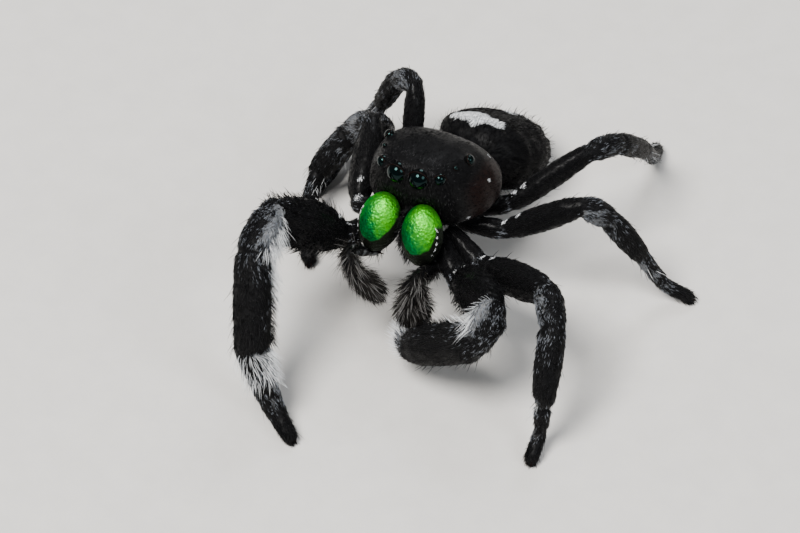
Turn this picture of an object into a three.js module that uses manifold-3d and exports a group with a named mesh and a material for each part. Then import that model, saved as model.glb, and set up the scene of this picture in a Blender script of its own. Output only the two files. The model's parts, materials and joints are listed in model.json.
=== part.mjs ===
// A life-size jumping spider, standing alert with its front legs held out before it.
// Millimetres. The spider faces -Y, its left side is +X, and the floor is z = 0.
import * as THREE from 'three';
import { mergeVertices } from 'three/addons/utils/BufferGeometryUtils.js';
import Module from 'manifold-3d';

const wasm = await Module();
wasm.setup();

// ---- Driving dimensions ----------------------------------------------------------------

const GAP = 0.03; // clear space between pieces that meet
const EYE_HEIGHT = 5.8; // the front middle eyes above the floor
const HEAD_PITCH = 17; // degrees that the front of the head is raised
const HEAD_ROLL = -3; // degrees that the head leans to its right

const LIMB_SIDES = 9;
const BODY_SIDES = 20;
const FINE_BALL = [14, 10]; // facets round and up the large eyes and the chelicerae
const COARSE_BALL = [10, 7];
const LARGE_EYE = 0.3; // radius above which an eye is made finer
const CORNER = 0.42; // how far before and after a joint a nearly straight limb starts to turn
const CORNER_SHARE = 0.4; // the most of a segment's length that one turn may take
const TOE_HEIGHT = 0.25; // middle of the foot's end above the floor
const PAD_RADIUS = 0.17; // the small flat that a foot stands on

// Carapace and breast, in the head's own frame. Its origin lies midway between the front
// middle eyes, y runs back along the head and z up. Each station holds its place along y,
// half its width, the height of its top, of its widest line and of its underside.
const HEAD_STATIONS = [
  [-0.10, 0.62, 0.22, -0.25, -0.62],
  [0.02, 1.02, 0.44, -0.35, -0.85],
  [0.25, 1.38, 0.58, -0.55, -1.30],
  [0.60, 1.64, 0.66, -0.75, -1.85],
  [1.10, 1.86, 0.72, -0.90, -2.15],
  [1.70, 2.03, 0.72, -1.00, -2.30],
  [2.40, 2.13, 0.58, -1.10, -2.35],
  [3.10, 2.06, 0.24, -1.20, -2.30],
  [3.80, 1.76, -0.34, -1.30, -2.15],
  [4.35, 1.28, -0.90, -1.42, -2.00],
  [4.70, 0.66, -1.22, -1.50, -1.82],
];
const HEAD_SQUARENESS = 2.5;

// Abdomen: place along its own axis, half width, height of the back above the axis and
// depth of the belly below it.
const ABDOMEN_STATIONS = [
  [0.00, 0.62, 0.50, 0.54],
  [0.16, 1.02, 0.78, 0.86],
  [0.50, 1.42, 0.92, 1.18],
  [1.10, 1.76, 0.99, 1.42],
  [1.90, 1.93, 1.00, 1.54],
  [2.70, 1.84, 0.95, 1.48],
  [3.40, 1.50, 0.85, 1.26],
  [4.00, 1.02, 0.70, 0.92],
  [4.40, 0.56, 0.46, 0.54],
];
const ABDOMEN_SQUARENESS = 2.15;
const ABDOMEN_SLOPE = -33; // degrees, falling to the rear
const ABDOMEN_TURN = 3; // degrees towards the spider's left
const ABDOMEN_START = [0.05, 4.36, 3.16];

const ABDOMEN_FRONT = 0.1; // stations behind this place move back as the abdomen grows

const WAIST_RADIUS = 0.34;
const WAIST_FROM = [0, 4.6, -1.5]; // in the head's frame
const WAIST_OVERRUN = 0.3; // how far the waist runs on into the head and the abdomen

// Spinnerets: four blunt cones round the abdomen's rear end.
const SPINNERET_PLACE = 4.32; // along the abdomen's axis
const SPINNERET_SPACING = 0.17; // either side of the axis
const SPINNERET_HEIGHTS = [-0.22, 0.02];
const SPINNERET_RADII = [0.27, 0.25, 0.14];
const SPINNERET_STEP = 0.26; // between one ring of a cone and the next
const SPINNERET_SPLAY = 0.8;
const SPINNERET_SIDES = 6;

// Eyes: name, radius and centre for the left side, in the head's frame.
const EYES = [
  ['eye_front_middle', 0.37, [0.39, 0.10, 0.00]],
  ['eye_front_side', 0.215, [1.02, 0.27, 0.10]],
  ['eye_top_middle', 0.09, [1.28, 0.84, 0.33]],
  ['eye_rear', 0.19, [1.43, 1.50, 0.38]],
];

// Chelicerae, in the head's frame.
const JAW_CENTRE = [0.77, -0.10, -1.90];
const JAW_HALF_SIZE = [0.70, 0.62, 1.06];
const JAW_LEAN = 10; // degrees that the lower end comes forward
const JAW_SPREAD = 6; // degrees that the lower end goes outward

// Palps, in the head's frame: places of the joints from root to tip for each side.
const PALP_JOINTS = {
  left: [[1.18, 0.20, -3.12], [1.22, -1.22, -2.82], [1.22, -1.32, -3.50], [1.22, -1.05, -4.55]],
  right: [[0.95, 0.05, -3.05], [1.20, -1.58, -2.42], [0.82, -1.62, -3.06], [0.08, -1.02, -4.02]],
};
// Half widths of the palps' segments at the root, middle and tip; the left one is bushier.
const PALP_GIRTHS = {
  left: [
    ['femur', [0.26, 0.32, 0.30]],
    ['tibia', [0.32, 0.48, 0.48]],
    ['cymbium', [0.48, 0.60, 0.38]],
  ],
  right: [
    ['femur', [0.26, 0.30, 0.25]],
    ['tibia', [0.25, 0.34, 0.32]],
    ['cymbium', [0.32, 0.42, 0.28]],
  ],
};

// Legs: root of the femur in the model's frame, and then the length of each segment, its
// heading in degrees (0 is ahead, 90 is out to the leg's own side, 180 is back) and its
// slope in degrees above level. The last segment slopes as the floor asks.
const LEG_POSES = {
  leg1_left: {
    socket: [0.80, 0.85, -2.25],
    root: [2.35, -0.80, 2.80],
    segments: [[2.96, 53, 30], [1.31, 1, -43], [3.21, -94, -34], [2.30, -151, -23], [1.23, -158]],
  },
  leg2_left: {
    socket: [0.95, 1.50, -2.35],
    root: [2.64, 0.20, 2.67],
    segments: [[3.41, 69, 24], [1.50, 34, -1], [2.39, 16, -53], [1.47, 2, -84], [0.87, 6]],
  },
  leg3_left: {
    socket: [0.95, 2.25, -2.35],
    root: [2.63, 1.86, 2.83],
    segments: [[3.05, 107, 34], [1.28, 138, -44], [1.89, 105, -53], [1.70, 121, -61], [0.89, 108]],
  },
  leg4_left: {
    socket: [0.80, 2.95, -2.20],
    root: [2.25, 2.90, 2.90],
    segments: [[3.26, 135, 32], [1.41, 159, -21], [2.31, 174, -45], [2.32, 190, -52], [0.99, 198]],
  },
  leg1_right: {
    socket: [0.80, 0.85, -2.25],
    root: [1.77, -1.01, 3.08],
    segments: [[3.36, 38, 41], [1.74, -8, -6], [3.21, -27, -54], [2.07, -69, -62], [1.16, -59]],
  },
  leg2_right: {
    socket: [0.95, 1.50, -2.35],
    root: [2.15, 0.50, 2.94],
    segments: [[3.10, 164, 21], [1.49, 102, -49], [1.99, 48, -51], [2.09, -16, -18], [1.16, -37]],
  },
  leg3_right: {
    socket: [0.95, 2.25, -2.35],
    root: [2.20, 1.85, 2.65],
    segments: [[2.64, 161, 0], [1.26, 125, -28], [1.63, 75, -58], [1.41, 4, -14], [0.82, 15]],
  },
  leg4_right: {
    socket: [0.80, 3.15, -2.15],
    root: [1.72, 3.44, 2.85],
    segments: [[2.48, 161, 55], [1.29, 119, -31], [2.06, 113, -64], [1.85, 81, -62], [0.93, 51]],
  },
};

// Half height of each segment at its start, middle and end, out to the tips of the coat,
// and half its width as a share of that. The fringe hangs that much lower underneath.
const LEG_GIRTHS = {
  leg1: {
    coxa: { girth: [0.34, 0.44, 0.42], width: 0.95, fringe: 0 },
    femur: { girth: [0.44, 0.90, 0.54], width: 0.76, fringe: 0.08 },
    patella: { girth: [0.54, 0.70, 0.66], width: 0.88, fringe: 0.05 },
    tibia: { girth: [0.66, 0.73, 0.66], width: 0.90, fringe: 0.08 },
    foot: { girth: [0.62, 0.46, 0.27], width: 0.95, fringe: 0 },
  },
  leg2: {
    coxa: { girth: [0.32, 0.42, 0.38], width: 0.95, fringe: 0 },
    femur: { girth: [0.42, 0.68, 0.50], width: 0.78, fringe: 0.05 },
    patella: { girth: [0.50, 0.56, 0.51], width: 0.90, fringe: 0 },
    tibia: { girth: [0.51, 0.52, 0.44], width: 0.92, fringe: 0.03 },
    foot: { girth: [0.34, 0.28, 0.27], width: 0.95, fringe: 0 },
  },
  leg3: {
    coxa: { girth: [0.30, 0.38, 0.35], width: 0.95, fringe: 0 },
    femur: { girth: [0.35, 0.50, 0.40], width: 0.84, fringe: 0 },
    patella: { girth: [0.40, 0.46, 0.43], width: 0.92, fringe: 0 },
    tibia: { girth: [0.42, 0.43, 0.34], width: 0.94, fringe: 0 },
    foot: { girth: [0.30, 0.27, 0.27], width: 0.95, fringe: 0 },
  },
  leg4: {
    coxa: { girth: [0.30, 0.38, 0.35], width: 0.95, fringe: 0 },
    femur: { girth: [0.35, 0.47, 0.38], width: 0.82, fringe: 0 },
    patella: { girth: [0.38, 0.43, 0.39], width: 0.92, fringe: 0 },
    tibia: { girth: [0.38, 0.40, 0.33], width: 0.94, fringe: 0 },
    foot: { girth: [0.30, 0.27, 0.27], width: 0.95, fringe: 0 },
  },
};
const STEPS = { coxa: 1, femur: 3, patella: 1, tibia: 2, metatarsus: 3, tarsus: 1, palp: 2 };
const BACK_LEAN = 0.15; // how far the upper side of a leg turns back from its foot
const PAD_STEP = 0.06; // the flat lies this far beyond the middle of the foot's end

// ---- Finishes --------------------------------------------------------------------------

const FINISHES = {
  coat: { color: 0x15161a, roughness: 0.75, metalness: 0 },
  shell: { color: 0x0b0a0c, roughness: 0.35, metalness: 0 },
  eye: { color: 0x050608, roughness: 0.05, metalness: 0 },
  jaw: { color: 0x2fae2a, roughness: 0.3, metalness: 0.6 },
  palp: { color: 0x6d6a66, roughness: 0.8, metalness: 0 },
};

const model = new THREE.Group();
model.name = 'jumping_spider';

function addPiece(name, finish, geometry) {
  const mesh = new THREE.Mesh(geometry, new THREE.MeshStandardMaterial(FINISHES[finish]));
  mesh.name = name;
  model.add(mesh);
}

// ---- Frames ----------------------------------------------------------------------------

const UP = new THREE.Vector3(0, 0, 1);
const headFrame = new THREE.Matrix4()
  .makeTranslation(0, 0, EYE_HEIGHT)
  .multiply(new THREE.Matrix4().makeRotationX(THREE.MathUtils.degToRad(-HEAD_PITCH)))
  .multiply(new THREE.Matrix4().makeRotationY(THREE.MathUtils.degToRad(HEAD_ROLL)));

function inHeadFrame([x, y, z]) {
  return new THREE.Vector3(x, y, z).applyMatrix4(headFrame);
}

function sideSign(name) {
  return name.includes('right') ? -1 : 1;
}

function mirrored([x, y, z], sign) {
  return [x * sign, y, z];
}

function direction(heading, slope, sign) {
  const turn = THREE.MathUtils.degToRad(heading);
  const rise = THREE.MathUtils.degToRad(slope);
  return new THREE.Vector3(
    sign * Math.sin(turn) * Math.cos(rise),
    -Math.cos(turn) * Math.cos(rise),
    Math.sin(rise),
  );
}

// ---- Solids ----------------------------------------------------------------------------

function toSolid(geometry) {
  const bare = geometry.clone();
  bare.deleteAttribute('normal');
  bare.deleteAttribute('uv');
  const merged = mergeVertices(bare, 1e-4);
  return new wasm.Manifold(new wasm.Mesh({
    numProp: 3,
    vertProperties: merged.attributes.position.array,
    triVerts: Uint32Array.from(merged.index.array),
  }));
}

function toGeometry(solid) {
  const mesh = solid.getMesh();
  const geometry = new THREE.BufferGeometry();
  geometry.setAttribute('position', new THREE.BufferAttribute(mesh.vertProperties, 3));
  geometry.setIndex(new THREE.BufferAttribute(mesh.triVerts, 1));
  geometry.computeVertexNormals();
  return geometry;
}

function carved(geometry, cutters) {
  const left = cutters.reduce((solid, cutter) => solid.subtract(toSolid(cutter)), toSolid(geometry));
  return toGeometry(left);
}

// A closed tube through rings. Each ring has a centre, a direction along the tube, an up
// direction and a function that gives the section's [sideways, upwards] place at an angle.
function tube(rings, sides) {
  const geometry = new THREE.CylinderGeometry(1, 1, 1, sides, rings.length - 1);
  const places = geometry.attributes.position;
  const point = new THREE.Vector3();
  for (let index = 0; index < places.count; index += 1) {
    point.fromBufferAttribute(places, index);
    const ring = rings[Math.round((point.y + 0.5) * (rings.length - 1))];
    const radius = Math.hypot(point.x, point.z);
    const [across, above] = ring.section(Math.atan2(point.z, point.x));
    const sideways = new THREE.Vector3().crossVectors(ring.along, ring.up).normalize();
    const upwards = new THREE.Vector3().crossVectors(sideways, ring.along).normalize();
    point.copy(ring.centre)
      .addScaledVector(sideways, across * radius)
      .addScaledVector(upwards, above * radius);
    places.setXYZ(index, point.x, point.y, point.z);
  }
  return geometry;
}

function rounded(value, power) {
  return Math.sign(value) * Math.abs(value) ** power;
}

// A rounded section, a little square, with its own half heights above and below.
function bodySection(halfWidth, above, below, squareness) {
  return (angle) => [
    halfWidth * rounded(Math.cos(angle), 2 / squareness),
    (Math.sin(angle) > 0 ? above : below) * rounded(Math.sin(angle), 2 / squareness),
  ];
}

function limbSection(halfHeight, width, fringe) {
  return (angle) => [
    halfHeight * width * Math.cos(angle),
    (halfHeight + (Math.sin(angle) < 0 ? fringe : 0)) * Math.sin(angle),
  ];
}

// Start, middle and end values joined by a smooth curve.
function along([start, middle, end], share) {
  const bulge = middle - (start + end) / 2;
  return start + (end - start) * share + bulge * Math.sin(Math.PI * share);
}

// ---- Head and body ---------------------------------------------------------------------

function headSolid() {
  const back = new THREE.Vector3(0, 1, 0);
  const rings = HEAD_STATIONS.map(([y, halfWidth, top, widest, bottom]) => ({
    centre: new THREE.Vector3(0, y, widest),
    along: back,
    up: UP,
    section: bodySection(halfWidth, top - widest, widest - bottom, HEAD_SQUARENESS),
  }));
  return tube(rings, BODY_SIDES).applyMatrix4(headFrame);
}

function ball(radius, centre, widthSegments, heightSegments) {
  const geometry = new THREE.SphereGeometry(radius, widthSegments, heightSegments);
  return geometry.translate(centre.x, centre.y, centre.z);
}

function jawSolid(sign, extra) {
  const geometry = new THREE.SphereGeometry(1, ...FINE_BALL);
  geometry.scale(...JAW_HALF_SIZE.map((half) => half + extra));
  geometry.rotateX(THREE.MathUtils.degToRad(-JAW_LEAN));
  geometry.rotateY(THREE.MathUtils.degToRad(-JAW_SPREAD * sign));
  geometry.translate(...mirrored(JAW_CENTRE, sign));
  return geometry.applyMatrix4(headFrame);
}

function waistSolid() {
  const from = inHeadFrame(WAIST_FROM);
  const to = new THREE.Vector3(...ABDOMEN_START);
  const reach = new THREE.Vector3().subVectors(to, from);
  const unit = reach.clone().normalize();
  const ends = [[from, -WAIST_OVERRUN], [to, WAIST_OVERRUN]];
  const rings = ends.map(([end, overrun]) => ({
    centre: end.clone().addScaledVector(unit, overrun),
    along: unit,
    up: UP,
    section: limbSection(WAIST_RADIUS, 1, 0),
  }));
  return tube(rings, LIMB_SIDES);
}

const abdomenAxis = direction(180 - ABDOMEN_TURN, ABDOMEN_SLOPE, 1);

function abdomenSolid(extra) {
  const start = new THREE.Vector3(...ABDOMEN_START);
  const rings = ABDOMEN_STATIONS.map(([place, halfWidth, above, below]) => ({
    centre: start.clone().addScaledVector(abdomenAxis, place + extra * Math.sign(place - ABDOMEN_FRONT)),
    along: abdomenAxis,
    up: UP,
    section: bodySection(halfWidth + extra, above + extra, below + extra, ABDOMEN_SQUARENESS),
  }));
  return tube(rings, BODY_SIDES);
}

function spinneretSolid() {
  const tip = new THREE.Vector3(...ABDOMEN_START).addScaledVector(abdomenAxis, SPINNERET_PLACE);
  const sideways = new THREE.Vector3().crossVectors(abdomenAxis, UP).normalize();
  const upwards = new THREE.Vector3().crossVectors(sideways, abdomenAxis).normalize();
  const cones = [];
  for (const across of [-SPINNERET_SPACING, SPINNERET_SPACING]) {
    for (const above of SPINNERET_HEIGHTS) {
      const from = tip.clone().addScaledVector(sideways, across).addScaledVector(upwards, above);
      const aim = abdomenAxis.clone().addScaledVector(sideways, across * SPINNERET_SPLAY).normalize();
      const rings = SPINNERET_RADII.map((radius, index) => ({
        centre: from.clone().addScaledVector(aim, index * SPINNERET_STEP),
        along: aim,
        up: UP,
        section: limbSection(radius, 1, 0),
      }));
      cones.push(toSolid(tube(rings, SPINNERET_SIDES)));
    }
  }
  return toGeometry(cones.reduce((whole, cone) => whole.add(cone)));
}

// ---- Limbs -----------------------------------------------------------------------------

// A sharper turn starts further from its joint, and a short segment's turns stay apart.
function cornerAt(joints, index) {
  if (index === 0 || index === joints.length - 1) return CORNER;
  const towards = joints[index].clone().sub(joints[index - 1]);
  const away = joints[index + 1].clone().sub(joints[index]);
  const shorter = Math.min(towards.length(), away.length());
  return Math.min(CORNER / Math.cos(towards.angleTo(away) / 2), CORNER_SHARE * shorter);
}

// The place and direction where a limb turns at a joint.
function turnAt(joints, index) {
  const here = joints[index];
  const before = joints[index - 1];
  const after = joints[index + 1];
  const towards = before ? here.clone().sub(before).normalize() : null;
  const away = after ? after.clone().sub(here).normalize() : null;
  if (!towards) return { centre: here.clone(), along: away };
  if (!away) return { centre: here.clone(), along: towards };
  const reach = cornerAt(joints, index);
  return {
    centre: here.clone().addScaledVector(away, reach / 4).addScaledVector(towards, -reach / 4),
    along: towards.clone().add(away).normalize(),
  };
}

// Places along one segment: the turn at its start, even steps between, the turn at its end.
function segmentPlaces(joints, index, steps) {
  const start = joints[index];
  const end = joints[index + 1];
  const unit = end.clone().sub(start).normalize();
  const length = start.distanceTo(end);
  const first = turnAt(joints, index);
  const last = turnAt(joints, index + 1);
  const places = [{ ...first, share: 0 }];
  const from = cornerAt(joints, index);
  const to = length - cornerAt(joints, index + 1);
  for (let step = 0; step <= steps; step += 1) {
    const distance = from + (to - from) * (step / steps);
    places.push({
      centre: start.clone().addScaledVector(unit, distance),
      along: unit,
      share: distance / length,
    });
  }
  places.push({ ...last, share: 1 });
  return places;
}

function openJoints(places, atStart, atEnd) {
  if (atStart) places[0].centre.addScaledVector(places[0].along, GAP / 2);
  if (atEnd) {
    const last = places[places.length - 1];
    last.centre.addScaledVector(last.along, -GAP / 2);
  }
}

function limbRings(places, dorsal, size, extra) {
  return places.map((place) => ({
    centre: place.centre,
    along: place.along,
    up: dorsal,
    section: limbSection(along(size.girth, place.share) + extra, size.width, size.fringe),
  }));
}

// The foot is the metatarsus and the tarsus in one, and ends above a flat on the floor.
function footPlaces(joints) {
  const [ankle, middle, toe] = joints.slice(-3);
  const whole = ankle.distanceTo(middle) + middle.distanceTo(toe);
  const share = ankle.distanceTo(middle) / whole;
  const last = joints.length - 1;
  const metatarsus = segmentPlaces(joints, last - 2, STEPS.metatarsus);
  const tarsus = segmentPlaces(joints, last - 1, STEPS.tarsus).slice(1, -1);
  const unit = toe.clone().sub(middle).normalize();
  return [
    ...metatarsus.map((place) => ({ ...place, share: place.share * share })),
    ...tarsus.map((place) => ({ ...place, share: share + place.share * (1 - share) })),
    { centre: toe.clone(), along: unit.sub(UP).normalize(), share: 1 },
  ];
}

function padRing(joints) {
  const [middle, toe] = joints.slice(-2);
  const reach = toe.clone().sub(middle);
  return {
    centre: toe.clone().addScaledVector(reach.clone().normalize(), PAD_STEP).setZ(0),
    along: UP.clone().negate(),
    up: reach,
    section: limbSection(PAD_RADIUS, 1, 0),
  };
}

function legJoints(name) {
  const sign = sideSign(name);
  const pose = LEG_POSES[name];
  const root = new THREE.Vector3(...mirrored(pose.root, sign));
  const joints = [inHeadFrame(mirrored(pose.socket, sign)), root];
  pose.segments.forEach(([length, heading, slope]) => {
    const from = joints[joints.length - 1];
    const drop = THREE.MathUtils.radToDeg(Math.asin((TOE_HEIGHT - from.z) / length));
    const unit = direction(heading, slope ?? drop, sign);
    joints.push(from.clone().addScaledVector(unit, length));
  });
  return joints;
}

function dorsalOf(joints) {
  const reach = joints[joints.length - 1].clone().sub(joints[1]).setZ(0).normalize();
  return UP.clone().addScaledVector(reach, -BACK_LEAN).normalize();
}

// A leg's pieces in their order from the body. With extra above zero they are cutters.
function legPieces(name, extra) {
  const joints = legJoints(name);
  const dorsal = dorsalOf(joints);
  const girths = LEG_GIRTHS[name.slice(0, 4)];
  const pieces = {};
  ['coxa', 'femur', 'patella', 'tibia'].forEach((segment, index) => {
    const places = segmentPlaces(joints, index, STEPS[segment]);
    openJoints(places, index > 0 && extra === 0, extra === 0);
    pieces[segment] = tube(limbRings(places, dorsal, girths[segment], extra), LIMB_SIDES);
  });
  const places = footPlaces(joints);
  openJoints(places, extra === 0, false);
  const rings = limbRings(places, dorsal, girths.foot, extra);
  pieces.foot = tube([...rings, padRing(joints)], LIMB_SIDES);
  return pieces;
}

function palpPieces(side) {
  const joints = PALP_JOINTS[side].map((joint) => inHeadFrame(mirrored(joint, sideSign(side))));
  return PALP_GIRTHS[side].map(([segment, girth], index) => {
    const places = segmentPlaces(joints, index, STEPS.palp);
    openJoints(places, index > 0, true);
    return [segment, tube(limbRings(places, UP, { girth, width: 1, fringe: 0 }, 0), LIMB_SIDES)];
  });
}

// ---- Assembly --------------------------------------------------------------------------

const SIDES = ['left', 'right'];
const LEG_NAMES = Object.keys(LEG_POSES);

const eyeCutters = [];
for (const side of SIDES) {
  for (const [eye, radius, centre] of EYES) {
    const place = inHeadFrame(mirrored(centre, sideSign(side)));
    const detail = radius > LARGE_EYE ? FINE_BALL : COARSE_BALL;
    addPiece(`${eye}_${side}`, 'eye', ball(radius, place, ...detail));
    eyeCutters.push(ball(radius + GAP, place, ...detail));
  }
}

for (const side of SIDES) addPiece(`chelicera_${side}`, 'jaw', jawSolid(sideSign(side), 0));
const jawCutters = SIDES.map((side) => jawSolid(sideSign(side), GAP));

const coxaCutters = [];
for (const name of LEG_NAMES) {
  for (const [segment, geometry] of Object.entries(legPieces(name, 0))) {
    const meetsJaw = name.startsWith('leg1') && segment === 'coxa';
    addPiece(`${name}_${segment}`, 'coat', meetsJaw ? carved(geometry, jawCutters) : geometry);
  }
  coxaCutters.push(legPieces(name, GAP).coxa);
}

for (const side of SIDES) {
  for (const [segment, geometry] of palpPieces(side)) {
    const cutters = [...jawCutters, ...coxaCutters];
    const clear = segment === 'femur' ? carved(geometry, cutters) : geometry;
    addPiece(`palp_${side}_${segment}`, 'palp', clear);
  }
}

const headCutters = [...eyeCutters, ...jawCutters, ...coxaCutters];
addPiece('prosoma', 'shell', carved(headSolid(), headCutters));
addPiece('abdomen', 'coat', abdomenSolid(0));
addPiece('pedicel', 'shell', carved(waistSolid(), [headSolid(), abdomenSolid(GAP)]));
addPiece('spinnerets', 'coat', carved(spinneretSolid(), [abdomenSolid(GAP)]));

// The box's bottom centre is the origin.
const box = new THREE.Box3().setFromObject(model);
const middle = box.getCenter(new THREE.Vector3());
model.position.set(-middle.x, -middle.y, -box.min.z);

export default model;
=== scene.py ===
"""A life-size jumping spider: its skin, eyes, jaws, claws and coat, on a plain pale floor.

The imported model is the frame. Work is done in millimetres, and each finished mesh is put
into metres. The spider faces -Y and its left side is +X.
"""

import json
import math
from collections import namedtuple

import bmesh
import bpy
import numpy as np
from mathutils import Matrix, Vector
from mathutils.bvhtree import BVHTree
from mathutils.kdtree import KDTree

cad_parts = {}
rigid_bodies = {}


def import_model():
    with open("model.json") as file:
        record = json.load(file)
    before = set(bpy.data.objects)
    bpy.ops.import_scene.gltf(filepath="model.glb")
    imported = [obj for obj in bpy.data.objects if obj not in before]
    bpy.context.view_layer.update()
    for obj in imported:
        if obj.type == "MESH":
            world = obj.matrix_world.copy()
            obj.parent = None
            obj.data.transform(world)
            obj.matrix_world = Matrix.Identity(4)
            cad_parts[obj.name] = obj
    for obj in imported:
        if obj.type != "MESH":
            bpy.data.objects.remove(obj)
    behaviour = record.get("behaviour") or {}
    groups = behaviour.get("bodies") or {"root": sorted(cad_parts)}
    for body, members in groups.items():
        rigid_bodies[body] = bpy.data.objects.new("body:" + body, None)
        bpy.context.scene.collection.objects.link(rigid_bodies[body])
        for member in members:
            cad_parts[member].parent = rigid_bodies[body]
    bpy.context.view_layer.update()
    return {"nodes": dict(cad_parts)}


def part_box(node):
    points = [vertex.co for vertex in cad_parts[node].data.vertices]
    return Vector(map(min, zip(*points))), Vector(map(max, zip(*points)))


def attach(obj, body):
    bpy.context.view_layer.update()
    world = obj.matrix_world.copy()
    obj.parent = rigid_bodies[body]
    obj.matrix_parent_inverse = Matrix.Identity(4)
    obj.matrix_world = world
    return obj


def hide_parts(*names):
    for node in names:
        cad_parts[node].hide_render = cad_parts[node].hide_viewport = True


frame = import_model()

bl_info = {
    "name": "Jumping spider",
    "version": (1, 0, 0),
    "blender": (4, 5, 0),
    "location": "3D View > Sidebar > Spider",
    "description": "Builds the skin, eyes, jaws and coat of a life-size jumping spider",
    "category": "Add Mesh",
}

MM = 0.001
BODY = "root"
SIDES = ("left", "right")
LEG_SEGMENTS = ("coxa", "femur", "patella", "tibia", "foot")
PALP_SEGMENTS = ("femur", "tibia", "cymbium")
EYES = ("front_middle", "front_side", "top_middle", "rear")

# The white of each leg segment, as shares of its length and how pale the coat is there.
FRONT_LEG_MARKINGS = {
    "coxa": [(0.0, 0.0), (0.80, 0.03), (0.93, 0.50)],
    "femur": [(0.0, 0.0), (0.90, 0.0), (1.0, 0.50)],
    "patella": [(0.0, 0.90), (0.25, 0.95), (0.8, 0.90), (1.0, 0.75)],
    "tibia": [(0.0, 0.75), (0.14, 0.36), (0.32, 0.05), (0.93, 0.045), (0.98, 0.40)],
    "foot": [(0.0, 0.90), (0.26, 0.85), (0.40, 0.60), (0.58, 0.50), (0.66, 0.40), (0.74, 0.03)],
}
LEG_MARKINGS = {
    "coxa": [(0.0, 0.0), (0.80, 0.03), (0.93, 0.40)],
    "femur": [(0.0, 0.0), (0.90, 0.0), (1.0, 0.30)],
    "patella": [(0.0, 0.60), (0.5, 0.70), (1.0, 0.45)],
    "tibia": [(0.0, 0.45), (0.30, 0.40), (0.55, 0.14), (0.75, 0.06)],
    "foot": [
        (0.0, 0.65), (0.22, 0.60), (0.36, 0.45), (0.50, 0.30), (0.57, 0.50), (0.66, 0.45), (0.74, 0.03),
    ],
}
# How much of that white some legs have.
PALENESS = {"leg2_right_foot": 0.4, "leg2_right": 1.15, "leg3_left": 1.15, "leg4_left": 0.8}
FAR_PALENESS = 0.30  # how much of it is left on the side that faces away from a leg's bend
PALP_PALENESS = {"femur": 0.75, "tibia": 0.55, "cymbium": 0.12}
DOT_RADIUS = 0.055
FEMUR_DOTS = (0.05, 0.24)  # shares of a femur's length where a white dot lies on top
# White dots on the head: millimetres across, back and up from between the front middle eyes,
# and their radius.
HEAD_DOTS = [(1.51, 2.66, -0.70, 0.03), (2.00, 1.76, -0.92, 0.03), (1.69, 0.72, -1.80, 0.05)]
# White dots along the outer edge of each jaw, in shares of its half sizes outward, back and up.
JAW_DOTS = [
    (0.86, -0.36, 0.36), (0.90, -0.36, 0.14), (0.93, -0.36, -0.08),
    (0.90, -0.36, -0.30), (0.84, -0.38, -0.50), (0.76, -0.38, -0.66),
]
JAW_DOT_SPREAD = 0.034

# The abdomen's markings lie turned about its length by this many degrees to its right.
MARKING_ROLL = 18.5
BAND_REACH = 47.0  # how many degrees the band reaches to either side
# The band's edges: the share of the abdomen's length at its middle, and how much more at its ends.
BAND_FRONT = (0.058, 0.105)
BAND_REAR = (0.315, -0.090)
# White spots on its back: share of its length, degrees from the middle, radius in millimetres.
SPOTS = [(0.69, 0.0, 0.23), (0.775, 31.0, 0.13), (0.865, 38.0, 0.10)]
ABDOMEN_LENGTH = 4.4  # what a spot's share of the length is measured against
# Where the carapace's dark red starts and is full: millimetres out, down and back from between
# the front middle eyes.
FLANK_EDGES = ((1.4, 1.85), (0.25, 0.8), (0.4, 1.1))
FACE_EDGES = (-0.45, -0.15)  # millimetres ahead, between which the coat turns to lie downwards

# How far the skin lies inside each node, beyond what rounding the node takes away.
COAT_DEPTHS = {"leg": 0.018, "palp": 0.04, "abdomen": 0.04}
THIN_DEPTH = 0.02  # on feet, coxae and all the rest
GLOSSES = {"coxa": 1.0, "femur": 0.6, "prosoma": 0.1}  # how polished the skin of a node is
SWELLING = (-0.02, 0.15)  # how far the smoothed skin may be moved inwards and outwards
SWELLING_ROUNDS = 6  # rounds that even out those moves
JOINT_SHARE = 0.84  # a joint's thickness as a share of the limb's
MOUTH_STEPS = (0.0, 0.3, 0.6, 0.9)  # shares of the way from a palp's root to the first leg's
MOUTH_RADIUS, MOUTH_GROWTH = 0.30, 0.12  # the mouthpart there, at the palp and how much more at the leg
SOCKET_SHARE = 0.86  # the filling of an eye's socket, as a share of the lens's radius
MOUND_SHARE, MOUND_DEPTH = 1.12, 0.55  # the mound round an eye, and how far it lies behind the lens
JAW_ROOT_SHARE = 0.75
HEAD_SMOOTHING = 22
SKIN_SMOOTHING = 2
HEAD_RELIEF = 0.3  # how much of the skin's unevenness the head has
# Dents along the top of the head: how far back their middle is, their half width and half
# length, and their depth.
Dent = namedtuple("Dent", "back width length depth")
HEAD_DENTS = (Dent(2.5, 0.06, 0.28, 0.07), Dent(0.75, 0.55, 0.5, 0.05))
# Pairs of dimples on the back: shares of the abdomen's length, how far out, width and depth.
DIMPLE_SHARES = (0.45, 0.66)
DIMPLE_OUT, DIMPLE_WIDTH, DIMPLE_LENGTH, DIMPLE_DEPTH = 0.42, 0.10, 0.11, 0.06
FOLD_WAVES, FOLD_DEPTH = 62, 0.012  # folds round the abdomen's underside

# The green plate on the front of each jaw, in shares of the jaw's half sizes outward and up.
PLATE_MIDDLE = (0.02, 0.30)
PLATE_REACH = (0.84, 0.82)
PLATE_CUT = 0.15  # how much less it reaches inward at its lower end
JAW_NARROWING = 0.10  # how much narrower a jaw is at its lower end
PEBBLE_WIDTHS = (0.10, 0.065)

# Where each pair of eyes looks, as parts across, back and up the head, for the left side.
EYE_AIMS = {
    "front_middle": (0.10, -1.0, -0.02),
    "front_side": (0.52, -0.85, 0.05),
    "top_middle": (0.80, -0.10, 0.60),
    "rear": (0.88, 0.20, 0.42),
}


# ---- Settings ----------------------------------------------------------------------------


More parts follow.
